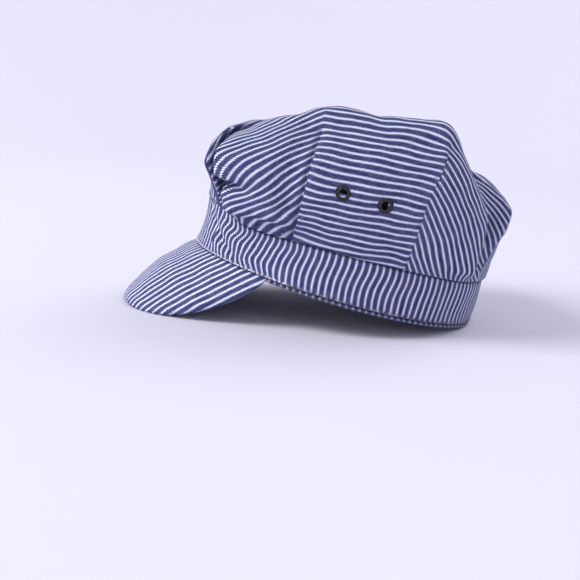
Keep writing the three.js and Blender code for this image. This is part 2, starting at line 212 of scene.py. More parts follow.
def skinPiece(name, grid, uvAfter, uvBefore, around, poles, attributes=(), holes=()):
    # grid (columns, section points, 3). Faces join each column to the next. With poles the section's
    # first and last points are one point each, else the section is a closed loop. Columns either go
    # all the way round or end in two caps. uvAfter is read on a column's far side, uvBefore on its near.
    # A hole (column, outer row, inner row) leaves out those two cells and walls the way between them.
    n, m = grid.shape[:2]
    columns = np.arange(n if around else n - 1)
    index = np.arange(n * m).reshape(n, m)
    joins = m - 1 if poles else m
    j = np.arange(joins)
    a, b = columns[:, None], (columns[:, None] + 1) % n
    j0, j1 = j[None, :], (j[None, :] + 1) % m
    quads = np.stack([index[a, j0], index[b, j0], index[b, j1], index[a, j1]], -1)
    nb = columns[:, None] + 1
    uv = np.stack([uvAfter[a, j0], uvBefore[nb, j0], uvBefore[nb, j0 + 1], uvAfter[a, j0 + 1]], -2)
    points = grid.reshape(-1, 3)
    faces, corners = [], []
    keep = np.ones(quads.shape[:2], bool)
    for i, outRow, inRow in holes:
        keep[i, outRow] = keep[i, inRow] = False
        a, b, c, d = quads[i, outRow]
        e, f, g, h = quads[i, inRow][[3, 2, 1, 0]]
        faces.append(np.array([[a, b, f, e], [b, c, g, f], [c, d, h, g], [d, a, e, h]]))
        corners.append(uv[i, outRow][[[0, 1, 1, 0], [1, 2, 2, 1], [2, 3, 3, 2], [3, 0, 0, 3]]])
    if poles:
        first, last = index[0, 0], index[0, m - 1]
        low, high = quads[:, 0], quads[:, -1]
        faces += [quads[:, 1:-1][keep[:, 1:-1]].reshape(-1, 4),
                  np.stack([np.full(len(low), first), low[:, 2], low[:, 3]], -1),
                  np.stack([high[:, 0], high[:, 1], np.full(len(high), last)], -1)]
        corners += [uv[:, 1:-1][keep[:, 1:-1]].reshape(-1, 4, 2), uv[:, 0][:, [0, 2, 3]],
                    uv[:, -1][:, [0, 1, 2]]]
        used = np.zeros(n * m, bool)
        for f in faces:
            used[f.ravel()] = True
        renumber = np.cumsum(used) - 1
        points = points[used]
        faces = [renumber[f] for f in faces]
        attributes = [(label, values.reshape(-1)[used]) for label, values in attributes]
    else:
        faces.append(quads.reshape(-1, 4))
        corners.append(uv.reshape(-1, 4, 2))
        if not around:
            ends = grid[[0, -1]].mean(1)
            points = np.concatenate([points, ends])
            one, two = index[0], index[-1]
            faces += [np.stack([np.full(m, n * m), one, np.roll(one, -1)], -1),
                      np.stack([np.full(m, n * m + 1), np.roll(two, -1), two], -1)]
            corners += [np.repeat(uvAfter[0, :m, None], 3, 1), np.repeat(uvBefore[n - 1, :m, None], 3, 1)]
            attributes = [(label, np.concatenate([values.reshape(-1), values[[0, -1]].mean(1)]))
                          for label, values in attributes]
    return putMesh(name, points, faces, corners, attributes)


# the cloth's flat pattern
flatPlan = {"rounds": 60, "visorRounds": 40, "firstRounds": 4, "firstSteps": 150, "steps": 30,
            "leastWeight": 0.05, "mostWeight": 20}


def flatten(grid, around, cutColumns, cutRows, start, rounds):
    # As rigid as possible: every triangle keeps its shape and only turns, in turn with a least squares
    # fit of all of them. Cut columns are doubled below cutRows, so the cloth opens there like a dart.
    # Returns the flat place on a column's far side and on its near side.
    n, m = grid.shape[:2]
    after = np.arange(n * m).reshape(n, m)
    after[:, -1] = after[0, -1] if around else after[:, -1]
    before = after.copy()
    extra = n * m
    for c in cutColumns:
        before[c, :cutRows] = extra + np.arange(cutRows)
        extra += cutRows
    places = np.zeros((extra, 3))
    guess = np.zeros((extra, 2))
    for ids in (after, before):
        places[ids] = grid
        guess[ids] = start
    cols = np.arange(n if around else n - 1)[:, None]
    nxt = (cols + 1) % n
    rows = np.arange(m - 1)[None, :]
    q = [after[cols, rows], before[nxt, rows], before[nxt, rows + 1], after[cols, rows + 1]]
    tris = np.concatenate([np.stack([q[0], q[1], q[2]], -1).reshape(-1, 3),
                           np.stack([q[0], q[2], q[3]], -1).reshape(-1, 3)])
    tris = tris[(tris[:, 0] != tris[:, 1]) & (tris[:, 1] != tris[:, 2]) & (tris[:, 0] != tris[:, 2])]
    p = places[tris]
    e1, e2 = p[:, 1] - p[:, 0], p[:, 2] - p[:, 0]
    length = np.linalg.norm(e1, axis=1)
    along = (e1 * e2).sum(1) / length
    off = np.sqrt(np.maximum((e2**2).sum(1) - along**2, 1e-9))
    flat = np.stack([0 * along, 0 * along, length, 0 * along, along, off], 1).reshape(-1, 3, 2)
    used, number = np.unique(tris, return_inverse=True)
    number = number.reshape(tris.shape)
    size = len(used)
    pairs = [(1, 2, 0), (2, 0, 1), (0, 1, 2)]
    weights = []
    for i, j, k in pairs:
        u, v = flat[:, i] - flat[:, k], flat[:, j] - flat[:, k]
        cot = (u * v).sum(1) / np.maximum(np.abs(u[:, 0] * v[:, 1] - u[:, 1] * v[:, 0]), 1e-9)
        weights.append(np.clip(cot, flatPlan["leastWeight"], flatPlan["mostWeight"]))
    ends = np.concatenate([np.stack([number[:, i], number[:, j]]) for i, j, k in pairs], 1)
    edges = np.concatenate([ends, ends[::-1]], 1)
    strength = np.concatenate(weights * 2)
    total = np.bincount(edges[0], strength, size)[:, None] + 1e-6

    def atPoints(values):  # sum at every point of the values of its edges
        return np.stack([np.bincount(edges[0], values[:, a], size) for a in range(2)], 1)

    def pull(x):  # sum of strength (x - neighbour's x)
        return total * x - atPoints(strength[:, None] * x[edges[1]])

    uv = guess[used]
    for step in range(rounds):
        c, s = np.zeros(len(tris)), np.zeros(len(tris))
        for (i, j, k), w in zip(pairs, weights):
            x, y = flat[:, i] - flat[:, j], uv[number[:, i]] - uv[number[:, j]]
            c += w * (x * y).sum(1)
            s += w * (x[:, 0] * y[:, 1] - x[:, 1] * y[:, 0])
        c, s = c / np.maximum(np.hypot(c, s), 1e-12), s / np.maximum(np.hypot(c, s), 1e-12)
        turned = []
        for (i, j, k), w in zip(pairs, weights):
            x = flat[:, i] - flat[:, j]
            turned.append(np.stack([c * x[:, 0] - s * x[:, 1], s * x[:, 0] + c * x[:, 1]], 1) * w[:, None])
        wanted = atPoints(np.concatenate([*turned, *[-t for t in turned]])) + 1e-6 * uv
        left = wanted - pull(uv)   # conjugate gradients, started from the last round's places
        ready = left / total
        go = ready.copy()
        for _ in range(flatPlan["firstSteps"] if step < flatPlan["firstRounds"] else flatPlan["steps"]):
            pulled = pull(go)
            much = (left * ready).sum(0)
            stride = much / np.maximum((go * pulled).sum(0), 1e-12)
            uv = uv + stride * go
            left = left - stride * pulled
            ready = left / total
            go = ready + go * ((left * ready).sum(0) / np.maximum(much, 1e-12))
    out = np.zeros((extra, 2))
    out[used] = uv
    return out[after], out[before]


def alignFlat(uvAfter, uvBefore, rowsFrom, plan):
    # turn and shift the flat cloth so that its rows from rowsFrom on lie best over their plan view:
    # turn = atan2(sum of cross products, sum of dot products), both about their means
    a = uvAfter[:, rowsFrom:].reshape(-1, 2)
    b = plan[:, rowsFrom:].reshape(-1, 2)
    am, bm = a.mean(0), b.mean(0)
    x, y = a - am, b - bm
    turn = math.atan2((x[:, 0] * y[:, 1] - x[:, 1] * y[:, 0]).sum(), (x * y).sum())
    c, s = math.cos(turn), math.sin(turn)
    rot = np.array([[c, s], [-s, c]])
    return (uvAfter - am) @ rot + bm, (uvBefore - am) @ rot + bm


# sizes and sections of band and crown
bandShape = {
    "length": 206.0, "width": 163.0, "taper": 0.035,   # egg-shaped ring, outside
    "height": 34.0, "thickness": 2.6, "hem": 2.4, "gap": 0.35, "meanRadius": 92.0,
    # angle, then how far the outside stands out at four heights, as shares of the thickness
    "sections": [(0, .25, -.3, -.4, 0), (40, .15, -.25, -.2, 0), (80, 0, .1, .15, 0),
                 (130, 0, .4, .35, 0), (180, 0, .35, .3, 0)],
}
crownShape = {
    "rise": 97.0, "cloth": 1.25, "settle": 0.3, "middle": (0, 0, 0.84),
    "slump": 8.0, "slumpAcross": (-0.45, 0.75), "slumpUp": (0.35, 0.8),   # the top sinks on the right
    "clothPerRise": 1.6,   # length of the cloth from band to top, as a multiple of the rise
    "stations": [0, .14, .36, .62, .78, .89, 1],
    "dartFade": (0.56, 0.74), "dartEnd": 0.63,   # shares of the way up: crease fades, dart ends
    # dart?, angle, seam share of the band's height, then low, belly, shoulder and rim points:
    # forward and sideways shares of half the ring, up as a share of the rise
    "rows": [
        (0, 0, 1.06, (1.02, 0, .155), (1.06, 0, .30), (.91, 0, .58), (.66, 0, .69)),
        (1, 29.5, 1.06, (.94, .49, .14), (1.045, .49, .30), (.92, .52, .585), (.63, .51, .725)),
        (0, 37, 1, (.74, .50, .11), (.735, .49, .29), (.79, .56, .57), (.59, .58, .745)),
        (0, 46, .91, (.845, .755, .09), (.97, .785, .335), (.865, .735, .575), (.595, .66, .765)),
        (0, 58, .90, (.60, .98, .115), (.72, 1.01, .37), (.65, .93, .69), (.49, .80, .815)),
        (1, 69.5, .94, (.35, 1.03, .145), (.365, 1.105, .43), (.36, 1.01, .765), (.36, .82, .905)),
        (0, 91, .985, (-.02, 1.08, .165), (-.01, 1.14, .45), (-.02, 1.06, .785), (.01, .85, .945)),
        (1, 112.5, 1, (-.39, 1.045, .165), (-.39, 1.115, .495), (-.42, 1.00, .85), (-.33, .79, 1.02)),
        (0, 130, 1, (-.65, .92, .145), (-.64, .98, .505), (-.54, .865, .85), (-.38, .67, .985)),
        (0, 142, .985, (-.835, .76, .135), (-.805, .785, .475), (-.59, .73, .76), (-.38, .53, .905)),
        (0, 149, .985, (-.83, .61, .125), (-.81, .60, .475), (-.66, .56, .70), (-.45, .45, .86)),
        (1, 155.5, .985, (-.92, .47, .125), (-.99, .49, .495), (-.80, .48, .69), (-.54, .39, .79)),
        (0, 180, .985, (-1.02, 0, .135), (-1.01, 0, .495), (-.85, 0, .69), (-.56, 0, .78)),
    ],
    # folds: from (angle, share), to (angle, share), width in mm, height in mm at start and end
    "folds": [
        ((41, .235), (50, .225), 4.6, -8.5, -6.5),
        ((50, .225), (61, .27), 4.2, -5.0, -1.0),
        ((42, .10), (66, .13), 4.6, 3.0, 2.4),
        ((66, .16), (67.5, .60), 4.0, -4.6, -3.2),
        ((120, .12), (150, .10), 5.8, 1.9, 1.9),
    ],
    "facets": (64, 48, 56, 52, 56, 48, 64, 60),   # columns between darts, from the front left dart
    "rowSteps": 92,
    "crowding": 0.5,   # columns stand closer by the darts
}
halfLength, halfWidth = bandShape["length"] / 2, bandShape["width"] / 2


def oval(angle, out, height):
    # egg-shaped ring: (half length + out) cos, (half width + out) sin (1 - taper cos)
    c, s = np.cos(angle * deg), np.sin(angle * deg)
    x, y = (halfLength + out) * c, (halfWidth + out) * s * (1 - bandShape["taper"] * c)
    x, y, z = np.broadcast_arrays(x, y, height)
    return np.stack([x, y, z], -1)


def bandOut(angle, share):
    # how far the band's outside stands out, from the sections' curve round and then up; arrays (n, m)
    table = np.array(bandShape["sections"], float)
    around = smoothCurve(table[:, 0], table[:, 1:], fromFront(angle))
    columns = smoothCurve([0, 1 / 3, 2 / 3, 1], around.T, share)
    return columns.T * bandShape["thickness"]


def ringOfRows():
    # every row's points from the band's seam to the crown's middle, share * (half length, half width,
    # rise), and the right side mirrored: sideways * -1 at 360 - angle
    rows = crownShape["rows"]
    h, rise, mid = bandShape["height"], crownShape["rise"], crownShape["middle"]
    scale = np.array([halfLength, halfWidth, rise])
    angles, dart, points = [], [], []
    for isDart, angle, seam, *stations in rows:
        rim = np.array(stations[-1], float)
        halfway = np.array([rim[0] / 2, rim[1] / 2, mid[2] + crownShape["settle"] * (rim[2] - mid[2])])
        up = np.array([*stations, halfway, mid], float) * scale + (0, 0, h)
        first = oval(np.array(float(angle)), 0, seam * h)
        angles.append(float(angle))
        dart.append(bool(isDart))
        points.append(np.vstack([first, up]))
    mirror = np.array([1, -1, 1.0])
    count = len(rows)
    order = list(range(count)) + list(range(count - 2, 0, -1))
    allAngles = angles + [360 - angles[k] for k in range(count - 2, 0, -1)]
    allPoints = [points[k] * (mirror if i >= count else 1) for i, k in enumerate(order)]
    return np.array(allAngles), np.array([dart[k] for k in order]), np.array(allPoints)


ringAngles, ringDarts, ringPoints = ringOfRows()
dartAngles = ringAngles[ringDarts]


def crownBase(angles, shares):
    # meridians are curves through each row's stations; round the crown they are joined dart by dart
    # below the dart ends and in one smooth ring above; angles from the first dart on, past 360 too
    meridians = smoothCurve(crownShape["stations"], ringPoints.swapaxes(0, 1), shares).swapaxes(0, 1)
    ends = np.concatenate([ringAngles - 360, ringAngles, ringAngles + 360])
    everywhere = np.concatenate([meridians] * 3)
    isDart = np.concatenate([ringDarts] * 3)
    smooth = smoothCurve(ends, everywhere, angles)
    creased = np.empty_like(smooth)
    places = np.flatnonzero(isDart)
    for a, b in zip(places[:-1], places[1:]):
        here = (angles >= ends[a]) & (angles < ends[b])
        if here.any():
            creased[here] = smoothCurve(ends[a:b + 1], everywhere[a:b + 1], angles[here])
    flow = smoothStep(*crownShape["dartFade"], shares)[None, :, None]
    return creased * (1 - flow) + smooth * flow


# the crown's surface
print("crown: grid and flat pattern")


def crownColumns():
    # angles dart by dart, crowded towards the darts: t - k / 2 pi sin(2 pi t)
    k = crownShape["crowding"]
    stops = np.concatenate([dartAngles, dartAngles[:1] + 360])
    parts = []
    for a, b, n in zip(stops[:-1], stops[1:], crownShape["facets"]):
        t = np.arange(n) / n
        parts.append(a + (b - a) * (t - k / (2 * math.pi) * np.sin(2 * math.pi * t)))
    return np.concatenate(parts)


columnAngle = crownColumns()
columnCount = len(columnAngle)
dartColumns = np.concatenate([[0], np.cumsum(crownShape["facets"])[:-1]])
rowShare = (np.arange(crownShape["rowSteps"] + 1) / crownShape["rowSteps"]) ** 1.08
seamHeight = crownBase(columnAngle, np.array([0.0]))[:, 0, 2]


def crownSurface(angles, shares, seams):
    # the base, slipped at its foot onto the band's ring, less slump (step across) (step up the share)
    base = crownBase(angles, shares)
    seam = crownBase(angles, np.array([0.0]))
    toBand = oval(np.mod(angles, 360), 0.0, seams) - seam[:, 0]
    slip = (1 - smoothStep(0, crownShape["stations"][1], shares))[None, :, None]
    base = base + toBand[:, None, :] * slip
    across = smoothStep(*crownShape["slumpAcross"], -base[..., 1] / halfWidth)
    base[..., 2] -= crownShape["slump"] * across * smoothStep(*crownShape["slumpUp"], shares)[None, :]
    base[:, -1] = base[:, -1].mean(0)
    return base


def domeNormals(grid):  # grid normals with the crown's top point looking straight up
    normals = gridNormals(grid, True)
    normals[:, -1] = (0, 0, 1)
    return normals


crownPlain = crownSurface(columnAngle, rowShare, seamHeight)
angleGrid, shareGrid = np.broadcast_arrays(columnAngle[:, None], rowShare[None, :])
crownFolds = softRidges(angleGrid, shareGrid, crownShape["folds"], halfWidth,
                        crownShape["rise"] * crownShape["clothPerRise"])
foldFade = smoothStep(0, 0.08, shareGrid) * (1 - smoothStep(0.85, 0.95, shareGrid))
crownMain = crownPlain + domeNormals(crownPlain) * (crownFolds * foldFade)[..., None]

# every fourth column and row is flattened; places from the top out are the first guess
coarse = crownMain[::4, ::4]
coarseAngle = columnAngle[::4]
fromTop = runUp(coarse[:, ::-1])[:, ::-1]
way = np.stack([np.cos(coarseAngle * deg), np.sin(coarseAngle * deg)], -1)
cutRows = int(np.searchsorted(rowShare[::4], crownShape["dartEnd"]))
flatAfter, flatBefore = flatten(coarse, True, [c // 4 for c in dartColumns], cutRows,
                                fromTop[..., None] * way[:, None, :], flatPlan["rounds"])
flatAfter, flatBefore = alignFlat(flatAfter, flatBefore, int(len(rowShare[::4]) * 0.7), coarse[..., :2])


def refineFlat(after, before):
    # coarse flat places to the fine grid: curves up the rows, then across each panel between its darts
    after, before = (smoothCurve(rowShare[::4], side.swapaxes(0, 1), rowShare).swapaxes(0, 1)
                     for side in (after, before))
    fineAfter = np.empty((columnCount + 1, len(rowShare), 2))
    fineBefore = np.empty_like(fineAfter)
    stops = np.concatenate([dartColumns, [columnCount]])
    for a, b in zip(stops[:-1], stops[1:]):
        line = np.concatenate([after[a // 4:b // 4], before[(b // 4) % len(before)][None]])
        fine = smoothCurve(np.arange(a, b + 1, 4), line, np.arange(a, b + 1))
        fineAfter[a:b] = fine[:-1]
        fineBefore[a + 1:b + 1] = fine[1:]
    fineAfter[columnCount] = fineAfter[0]
    fineBefore[0] = fineBefore[columnCount]
    return fineAfter, fineBefore


stripeDraw = {
    "turn": 0.26, "turnStart": 37.0, "turnAcross": (29.5, 50),
    "turnFrom": (0.40, 0.66), "turnTo": (0.86, 0.97),
    "level": 0.42, "levelAcross": (36, 44), "levelUp": (0.06, 0.30),
    "lean": 52.0,
    "wave": 0.75, "waveLengths": (27, 34, 43, 55, 70), "waveSeed": 21,
}


def drawStripes(after, before, d):
    # where the cloth was pulled, its across place v moves. Front gussets: v - turn (x - x at the side
    # dart) on the upper part, and under the pinch v + level (v at the side dart - v), so the stripes
    # turn along the band there. Rear gussets: v + lean (dart end's share - share).
    side = fromFront(np.append(columnAngle, columnAngle[0]))[:, None]
    share = rowShare[None, :]
    forward = np.concatenate([crownMain, crownMain[:1]])[..., 0]
    up = smoothStep(*d["turnFrom"], share) * (1 - smoothStep(*d["turnTo"], share))
    turned = d["turn"] * smoothStep(*d["turnAcross"], side) * up * np.maximum(forward - d["turnStart"], 0)
    level = d["level"] * smoothStep(*d["levelAcross"], side) * (1 - smoothStep(*d["levelUp"], share))
    lean = d["lean"] * np.clip(crownShape["dartEnd"] - share, 0, 1)
    columns = np.arange(len(side))
    for uv in (after, before):   # the weave itself wanders a little over the cloth
        uv[..., 1] += clothSlack(uv, d["wave"], d["waveLengths"], d["waveSeed"])
    leftSeam, rightSeam = before[dartColumns[1], :, 1].copy(), after[dartColumns[6], :, 1].copy()
    for panel, way, atSeam in ((0, 1, leftSeam), (6, -1, rightSeam), (2, 1, None), (4, -1, None)):
        for uv, shift in ((after, 0), (before, 1)):
            here = (columns >= dartColumns[panel] + shift) & (columns < dartColumns[panel + 1] + shift)
            v = uv[here, :, 1]
            if atSeam is None:
                uv[here, :, 1] = v + way * lean
            else:
                uv[here, :, 1] = v - way * turned[here] + level[here] * (atSeam - v)
    return after, before


clothAfter, clothBefore = drawStripes(*refineFlat(flatAfter, flatBefore), stripeDraw)
print("crown: flat cloth, mm", np.round(np.ptp(clothAfter.reshape(-1, 2), 0)))


def panelDistances(grid):
    # distance along each row to the dart before and the dart after: sums of the steps between columns
    gaps = np.linalg.norm(np.roll(grid, -1, 0) - grid, axis=-1)
    toBefore = np.zeros(grid.shape[:2])
    toAfter = np.zeros(grid.shape[:2])
    stops = np.concatenate([dartColumns, [columnCount]])
    for a, b in zip(stops[:-1], stops[1:]):
        run = np.cumsum(gaps[a:b], 0)
        toBefore[a + 1:b] = run[:-1]
        toAfter[a:b] = run[-1] - np.concatenate([0 * run[:1], run[:-1]])
        toAfter[a] = 0
    return toBefore, toAfter


crownDetail = {
    # mm: edge dips into the band seam, rolls over it, and is gathered there
    "seamDip": 0.45, "seamRoll": 0.9, "rollAt": 2.6, "rollWidth": 1.9,
    "gatherAt": 4.0, "gatherWidth": 4.5, "gatherLength": 9.0, "gatherDrift": 23.0,
    "tuckHeights": (-6.0, -3.6, -2.0, -0.6, 0.0), "tuckOuts": (0, 0, 0, 0.15, 0.7),   # tuck inside the band
    # beside each dart: groove, pillow either side, puckers; the front panel bulges past its darts
    "dartGroove": 0.35, "dartWidth": 0.9, "dartPillow": 0.35, "pillowAt": 3.0, "pillowWidth": 3.0,
    "ridgePillow": 1.0, "ridgeWidth": 2.4, "dartEnds": (0.59, 0.66),
    "pucker": 0.10, "puckerLength": 13.0, "puckerAt": 2.0, "puckerWidth": 4.243,
    "holeRadius": 4.2, "holeReach": 10.0,
    # painted shade in deep folds: angles where it begins, is full, fades, ends; share from and to, depth
    "paintedFoldShade": [(29.5, 30.5, 39.0, 46, .02, .74, 1.85), (142, 147, 151, 155, .05, .45, 0.8)],
    "paintedWedgeShade": 1.5, "wedgeWidth": 4.2, "wedgeAngle": 60, "wedgeSpread": 9.5,   # painted shade on the gusset before the side dart
    "slack": 0.45, "slackLengths": (14, 17, 21, 26, 33, 41), "seed": 11,
}


def sheetTerms(x, y):  # 1, x, y, x x, x y, y y
    return np.stack([np.ones_like(x), x, y, x * x, x * y, y * y], 1)


def sideOfEdge(p, q, target):  # sign of (q - p) x (target - p)
    return np.sign((q[..., 0] - p[..., 0]) * (target[1] - p[..., 1])
                   - (q[..., 1] - p[..., 1]) * (target[0] - p[..., 0]))


def openForEyelets(outer, uvAfter):
    # round each eyelet the cloth moves outwards on itself: radius r becomes hole + r (1 - hole / reach),
    # along a quadratic sheet fitted through the nearby points; the cell at the centre is left out
    uv = uvAfter[:-1].copy()
    moved = outer.copy()
    cells = []
    hole, reach = crownDetail["holeRadius"], crownDetail["holeReach"]
    for centre, axis in eyeletPlaces():
        off = outer - centre
        along = (off * axis).sum(-1)
        near = (np.linalg.norm(off - along[..., None] * axis, axis=-1) < reach + 4) & (np.abs(along) < 12)
        i, j = np.nonzero(near)
        places, flat = outer[i, j], uv[i, j]
        nearest = np.argmin(np.linalg.norm(places - along[i, j][:, None] * axis - centre, axis=-1))
        side = places[nearest] - centre
        x, y = (flat - flat[nearest]).T
        fit = np.linalg.lstsq(sheetTerms(x, y), places, rcond=None)[0]
        # the eyelet's own place on the flat cloth, by four steps back along the sheet
        here = np.zeros(2)
        for _ in range(4):
            miss = centre - (sheetTerms(here[:1], here[1:]) @ fit)[0]
            miss = miss - (miss @ axis) * axis
            here = here + np.linalg.lstsq(fit[1:3].T, miss, rcond=None)[0]
        dx, dy = x - here[0], y - here[1]
        r = np.maximum(np.hypot(dx, dy), 1e-6)
        inside = r < reach
        wider = np.where(inside, hole + r * (1 - hole / reach), r)
        nx, ny = here[0] + dx / r * wider, here[1] + dy / r * wider
        shift = (sheetTerms(nx, ny) - sheetTerms(x, y)) @ fit
        moved[i, j] = places + shift * inside[:, None]
        uv[i, j] = flat + np.stack([nx - x, ny - y], 1) * inside[:, None]
        # the grid cell that held the centre has it on the same side of all four edges
        target = flat[nearest] + here
        block = uvAfter[:-1][i.min():i.max() + 1, j.min():j.max() + 1]
        corners = [block[:-1, :-1], block[1:, :-1], block[1:, 1:], block[:-1, 1:]]
        signs = sum(sideOfEdge(p, q, target) for p, q in zip(corners, corners[1:] + corners[:1]))
        hit = np.argwhere(np.abs(signs) == 4)[0]
        cells.append((i.min() + hit[0], j.min() + hit[1]))
    after = uvAfter.copy()
    after[:-1] = uv
    return moved, after, cells


eyeletNodes = sorted(name for name in frame["nodes"] if name.startswith("eyelet"))


def eyeletPlaces():
    # centre and outward axis of each of the frame's eyelets, in upright mm: the middle of its box and
    # the way in which its points spread least
    back = np.array([[math.cos(lean), 0, math.sin(lean)], [0, 1, 0], [-math.sin(lean), 0, math.cos(lean)]])
    found = []
    for name in eyeletNodes:
        co = np.array([v.co for v in frame["nodes"][name].data.vertices]) * 1000 - restShift
        co = np.unique(np.round(co @ back.T, 4), axis=0)
        mean = (co.min(0) + co.max(0)) / 2
        axis = np.linalg.eigh(np.cov((co - co.mean(0)).T))[1][:, 0]
        found.append((mean, axis * np.sign(axis[1] * mean[1])))
    return found


def bothSides(values):  # a skin's inner rows backwards, its middle one, its outer rows
    return np.concatenate([values[:, ::-1], values[:, :1], values], 1)


def withTuck(uv, lengths):
    # the flat cloth runs on straight below its edge: edge + (edge - third row) / length * distance
    outwards = unit(uv[:, :1] - uv[:, 2:3])
    return bothSides(np.concatenate([uv[:, :1] + outwards * lengths[None, :, None], uv], 1)) / 1000


def crownRelief(c, near, upwards):
    # how far the cloth stands out: dart grooves, pillows and puckers, the roll over the band, gathers
    # and slack. near is the distance to the nearest dart, upwards the distance from the edge.
    groove = -c["dartGroove"] * hump(near, 0, c["dartWidth"])
    pillow = c["dartPillow"] * hump(near, c["pillowAt"], c["pillowWidth"])
    onFront = (np.mod(columnAngle - dartAngles[-1], 360) < 2 * dartAngles[0])[:, None]
    pillow = pillow + c["ridgePillow"] * onFront * hump(near, c["pillowAt"], c["ridgeWidth"])
    ripple = np.sin(upwards * 2 * math.pi / c["puckerLength"] + columnAngle[:, None])
    ripple = c["pucker"] * ripple * hump(near, c["puckerAt"], c["puckerWidth"])
    dartLive = 1 - smoothStep(*c["dartEnds"], shareGrid)
    edge = c["seamRoll"] * hump(upwards, c["rollAt"], c["rollWidth"]) - c["seamDip"] * hump(upwards, 0, 1)
    arc = columnAngle[:, None] * deg * bandShape["meanRadius"]
    wave = np.sin(arc * 2 * math.pi / c["gatherLength"] + 2 * np.sin(arc / c["gatherDrift"]))
    gathers = c["pucker"] * wave * hump(upwards, c["gatherAt"], c["gatherWidth"])
    slack = clothSlack(clothAfter[:-1], c["slack"], c["slackLengths"], c["seed"])
    fade = smoothStep(0, 0.05, shareGrid) * (1 - smoothStep(0.93, 0.99, shareGrid))
    byDarts = dartLive * (groove + pillow + ripple) * smoothStep(0, .02, shareGrid)
    return byDarts + edge + gathers + slack * fade


def crownShade(c, near, toSide, upwards):
    # seam: painted shade, the darkest of dart line, edge line over the band, and deep folds plus the
    # wedge beside the side dart. wear: a line beside each dart and one over the band
    angle = fromFront(columnAngle)[:, None]
    dartLive = 1 - smoothStep(*c["dartEnds"], shareGrid)
    # painted shade in the deep front and rear folds, where real shade falls
    paintedFoldShade = sum(depth * smoothStep(a, b, angle) * (1 - smoothStep(e, f, angle))
               * smoothStep(low, low + .08, shareGrid) * (1 - smoothStep(high - .12, high, shareGrid))
               for a, b, e, f, low, high, depth in c["paintedFoldShade"])
    # painted shade on the gusset beside the side dart, where it dips away from the light
    inWedge = np.abs(angle - c["wedgeAngle"]) < c["wedgeSpread"]
    beside = c["paintedWedgeShade"] * hump(toSide, 0, c["wedgeWidth"]) * inWedge
    seam = np.maximum(dartLive * hump(near, 0, 0.7) * 0.5, paintedFoldShade + dartLive * beside)
    wear = dartLive * hump(near, 2.2, 1.6) + 0.6 * hump(upwards, 3, 2)
    return np.maximum(seam, 0.6 * hump(upwards, 0, 0.9)), np.clip(wear, 0, 1)


def buildCrown(c):
    # one skin: outer face = grid + normal relief, with the tuck below it; inner face = outer - normal cloth
    print("crown: cloth")
    toBefore, toAfter = panelDistances(crownMain)
    near = np.minimum(toBefore, toAfter)
    upwards = runUp(crownMain)
    outer = crownMain + domeNormals(crownMain) * crownRelief(c, near, upwards)[..., None]
    outer[:, -1] = outer[:, -1].mean(0)
    outer, uvAfter, cells = openForEyelets(outer, clothAfter)
    uvBefore = clothBefore + (uvAfter - clothAfter)
    heights, outs = np.array(c["tuckHeights"]), np.array(c["tuckOuts"])
    angles = np.mod(columnAngle, 360)[:, None]
    tuck = oval(angles, outs[None, :] - bandShape["thickness"] - bandShape["gap"],
                seamHeight[:, None] + heights[None, :])
    outer = np.concatenate([tuck, outer], 1)
    inner = outer - domeNormals(outer) * crownShape["cloth"]
    inner[:, -1] = inner[:, -1].mean(0)
    foot = (outer[:, 0] + inner[:, 0]) / 2 - (0, 0, 0.4)
    section = np.concatenate([inner[:, ::-1], foot[:, None], outer], 1)
    tuckRows, rows = len(heights), outer.shape[1]
    lengths = np.linspace(2 - heights[0], 1, tuckRows)
    toSide = np.where(angles < 180, toAfter, toBefore)
    seam, wear = crownShade(c, near, toSide, upwards)
    below = np.ones((columnCount, tuckRows))
    inside = np.ones((columnCount, rows))
    # seam is painted shade: 0.6 on the tuck down in the band's gap, crownShade's seam and fold shade above it
    attributes = [("inside", np.concatenate([inside, inside[:, :1] * .5, inside * 0], 1)),
                  ("seam", bothSides(np.concatenate([below * .6, seam], 1))),
                  ("wear", bothSides(np.concatenate([below * 0, wear], 1)))]
    holes = [(i, rows + 1 + tuckRows + j, rows - 2 - tuckRows - j) for i, j in cells]
    return skinPiece("crown_cloth", section, withTuck(uvAfter, lengths), withTuck(uvBefore, lengths),
                     True, True, attributes, holes)


crown = buildCrown(crownDetail)


# the band round the head and the hem strip below it
bandDetail = {
    "rimSteps": 5, "faceSteps": 22, "insideSteps": 8,
    "topRound": 1.2, "footRound": 1.0,
    # mm by which the cloth has slipped sideways, and how much more it did at the front
    "waveSideways": 1.6, "kink": 0.55, "frontWave": 0.9, "frontAt": 62.0, "frontWidth": 24.0,
    "slack": 0.22, "slackLengths": (16, 21, 27, 34), "seed": 5,
    "folds": [  # angle and height share from, to, width mm, height mm at start and end
        ((20, .86), (36, .38), 2.4, -1.5, -1.2),
        ((36, .38), (50, .10), 2.6, -1.2, -0.7),
        ((20, .45), (44, .10), 3.0, 0.7, 0.5),
        ((95, .55), (118, .40), 5.0, -0.4, -0.2),
        ((124, .35), (150, .6), 6.0, 0.4, 0.3),
    ],
}


def ringArc(angles):
    # distance along the ring's outside up to each angle, from a fine polyline
    fine = np.linspace(min(angles.min(), 0) - 1, max(angles.max(), 360) + 1, 6000)
    line = oval(fine, 0.0, 0.0)
    run = np.concatenate([[0], np.cumsum(np.linalg.norm(np.diff(line, axis=0), axis=1))])
    return np.interp(angles, fine, run) - np.interp(0.0, fine, run)


def sideWave(b, share, arc):
    # wave strength sin(2 pi (share - 0.12)) + kink (strength - 0.5) sin(4 pi (share - 0.05) + a drift),
    # where the strength changes round the band and is greatest at both sides of the front
    front = hump(arc, b["frontAt"], b["frontWidth"]) + hump(arc, -b["frontAt"], b["frontWidth"])
    strength = 0.75 + 0.35 * np.sin(arc / 37) + 0.2 * np.sin(arc / 13 + 1) + b["frontWave"] * front
    kink = np.sin((share - 0.05) * 4 * math.pi + 1.3 * np.sin(arc / 8))
    return (b["waveSideways"] * strength * np.sin((share - 0.12) * 2 * math.pi)
            + b["kink"] * (strength - 0.5) * kink)


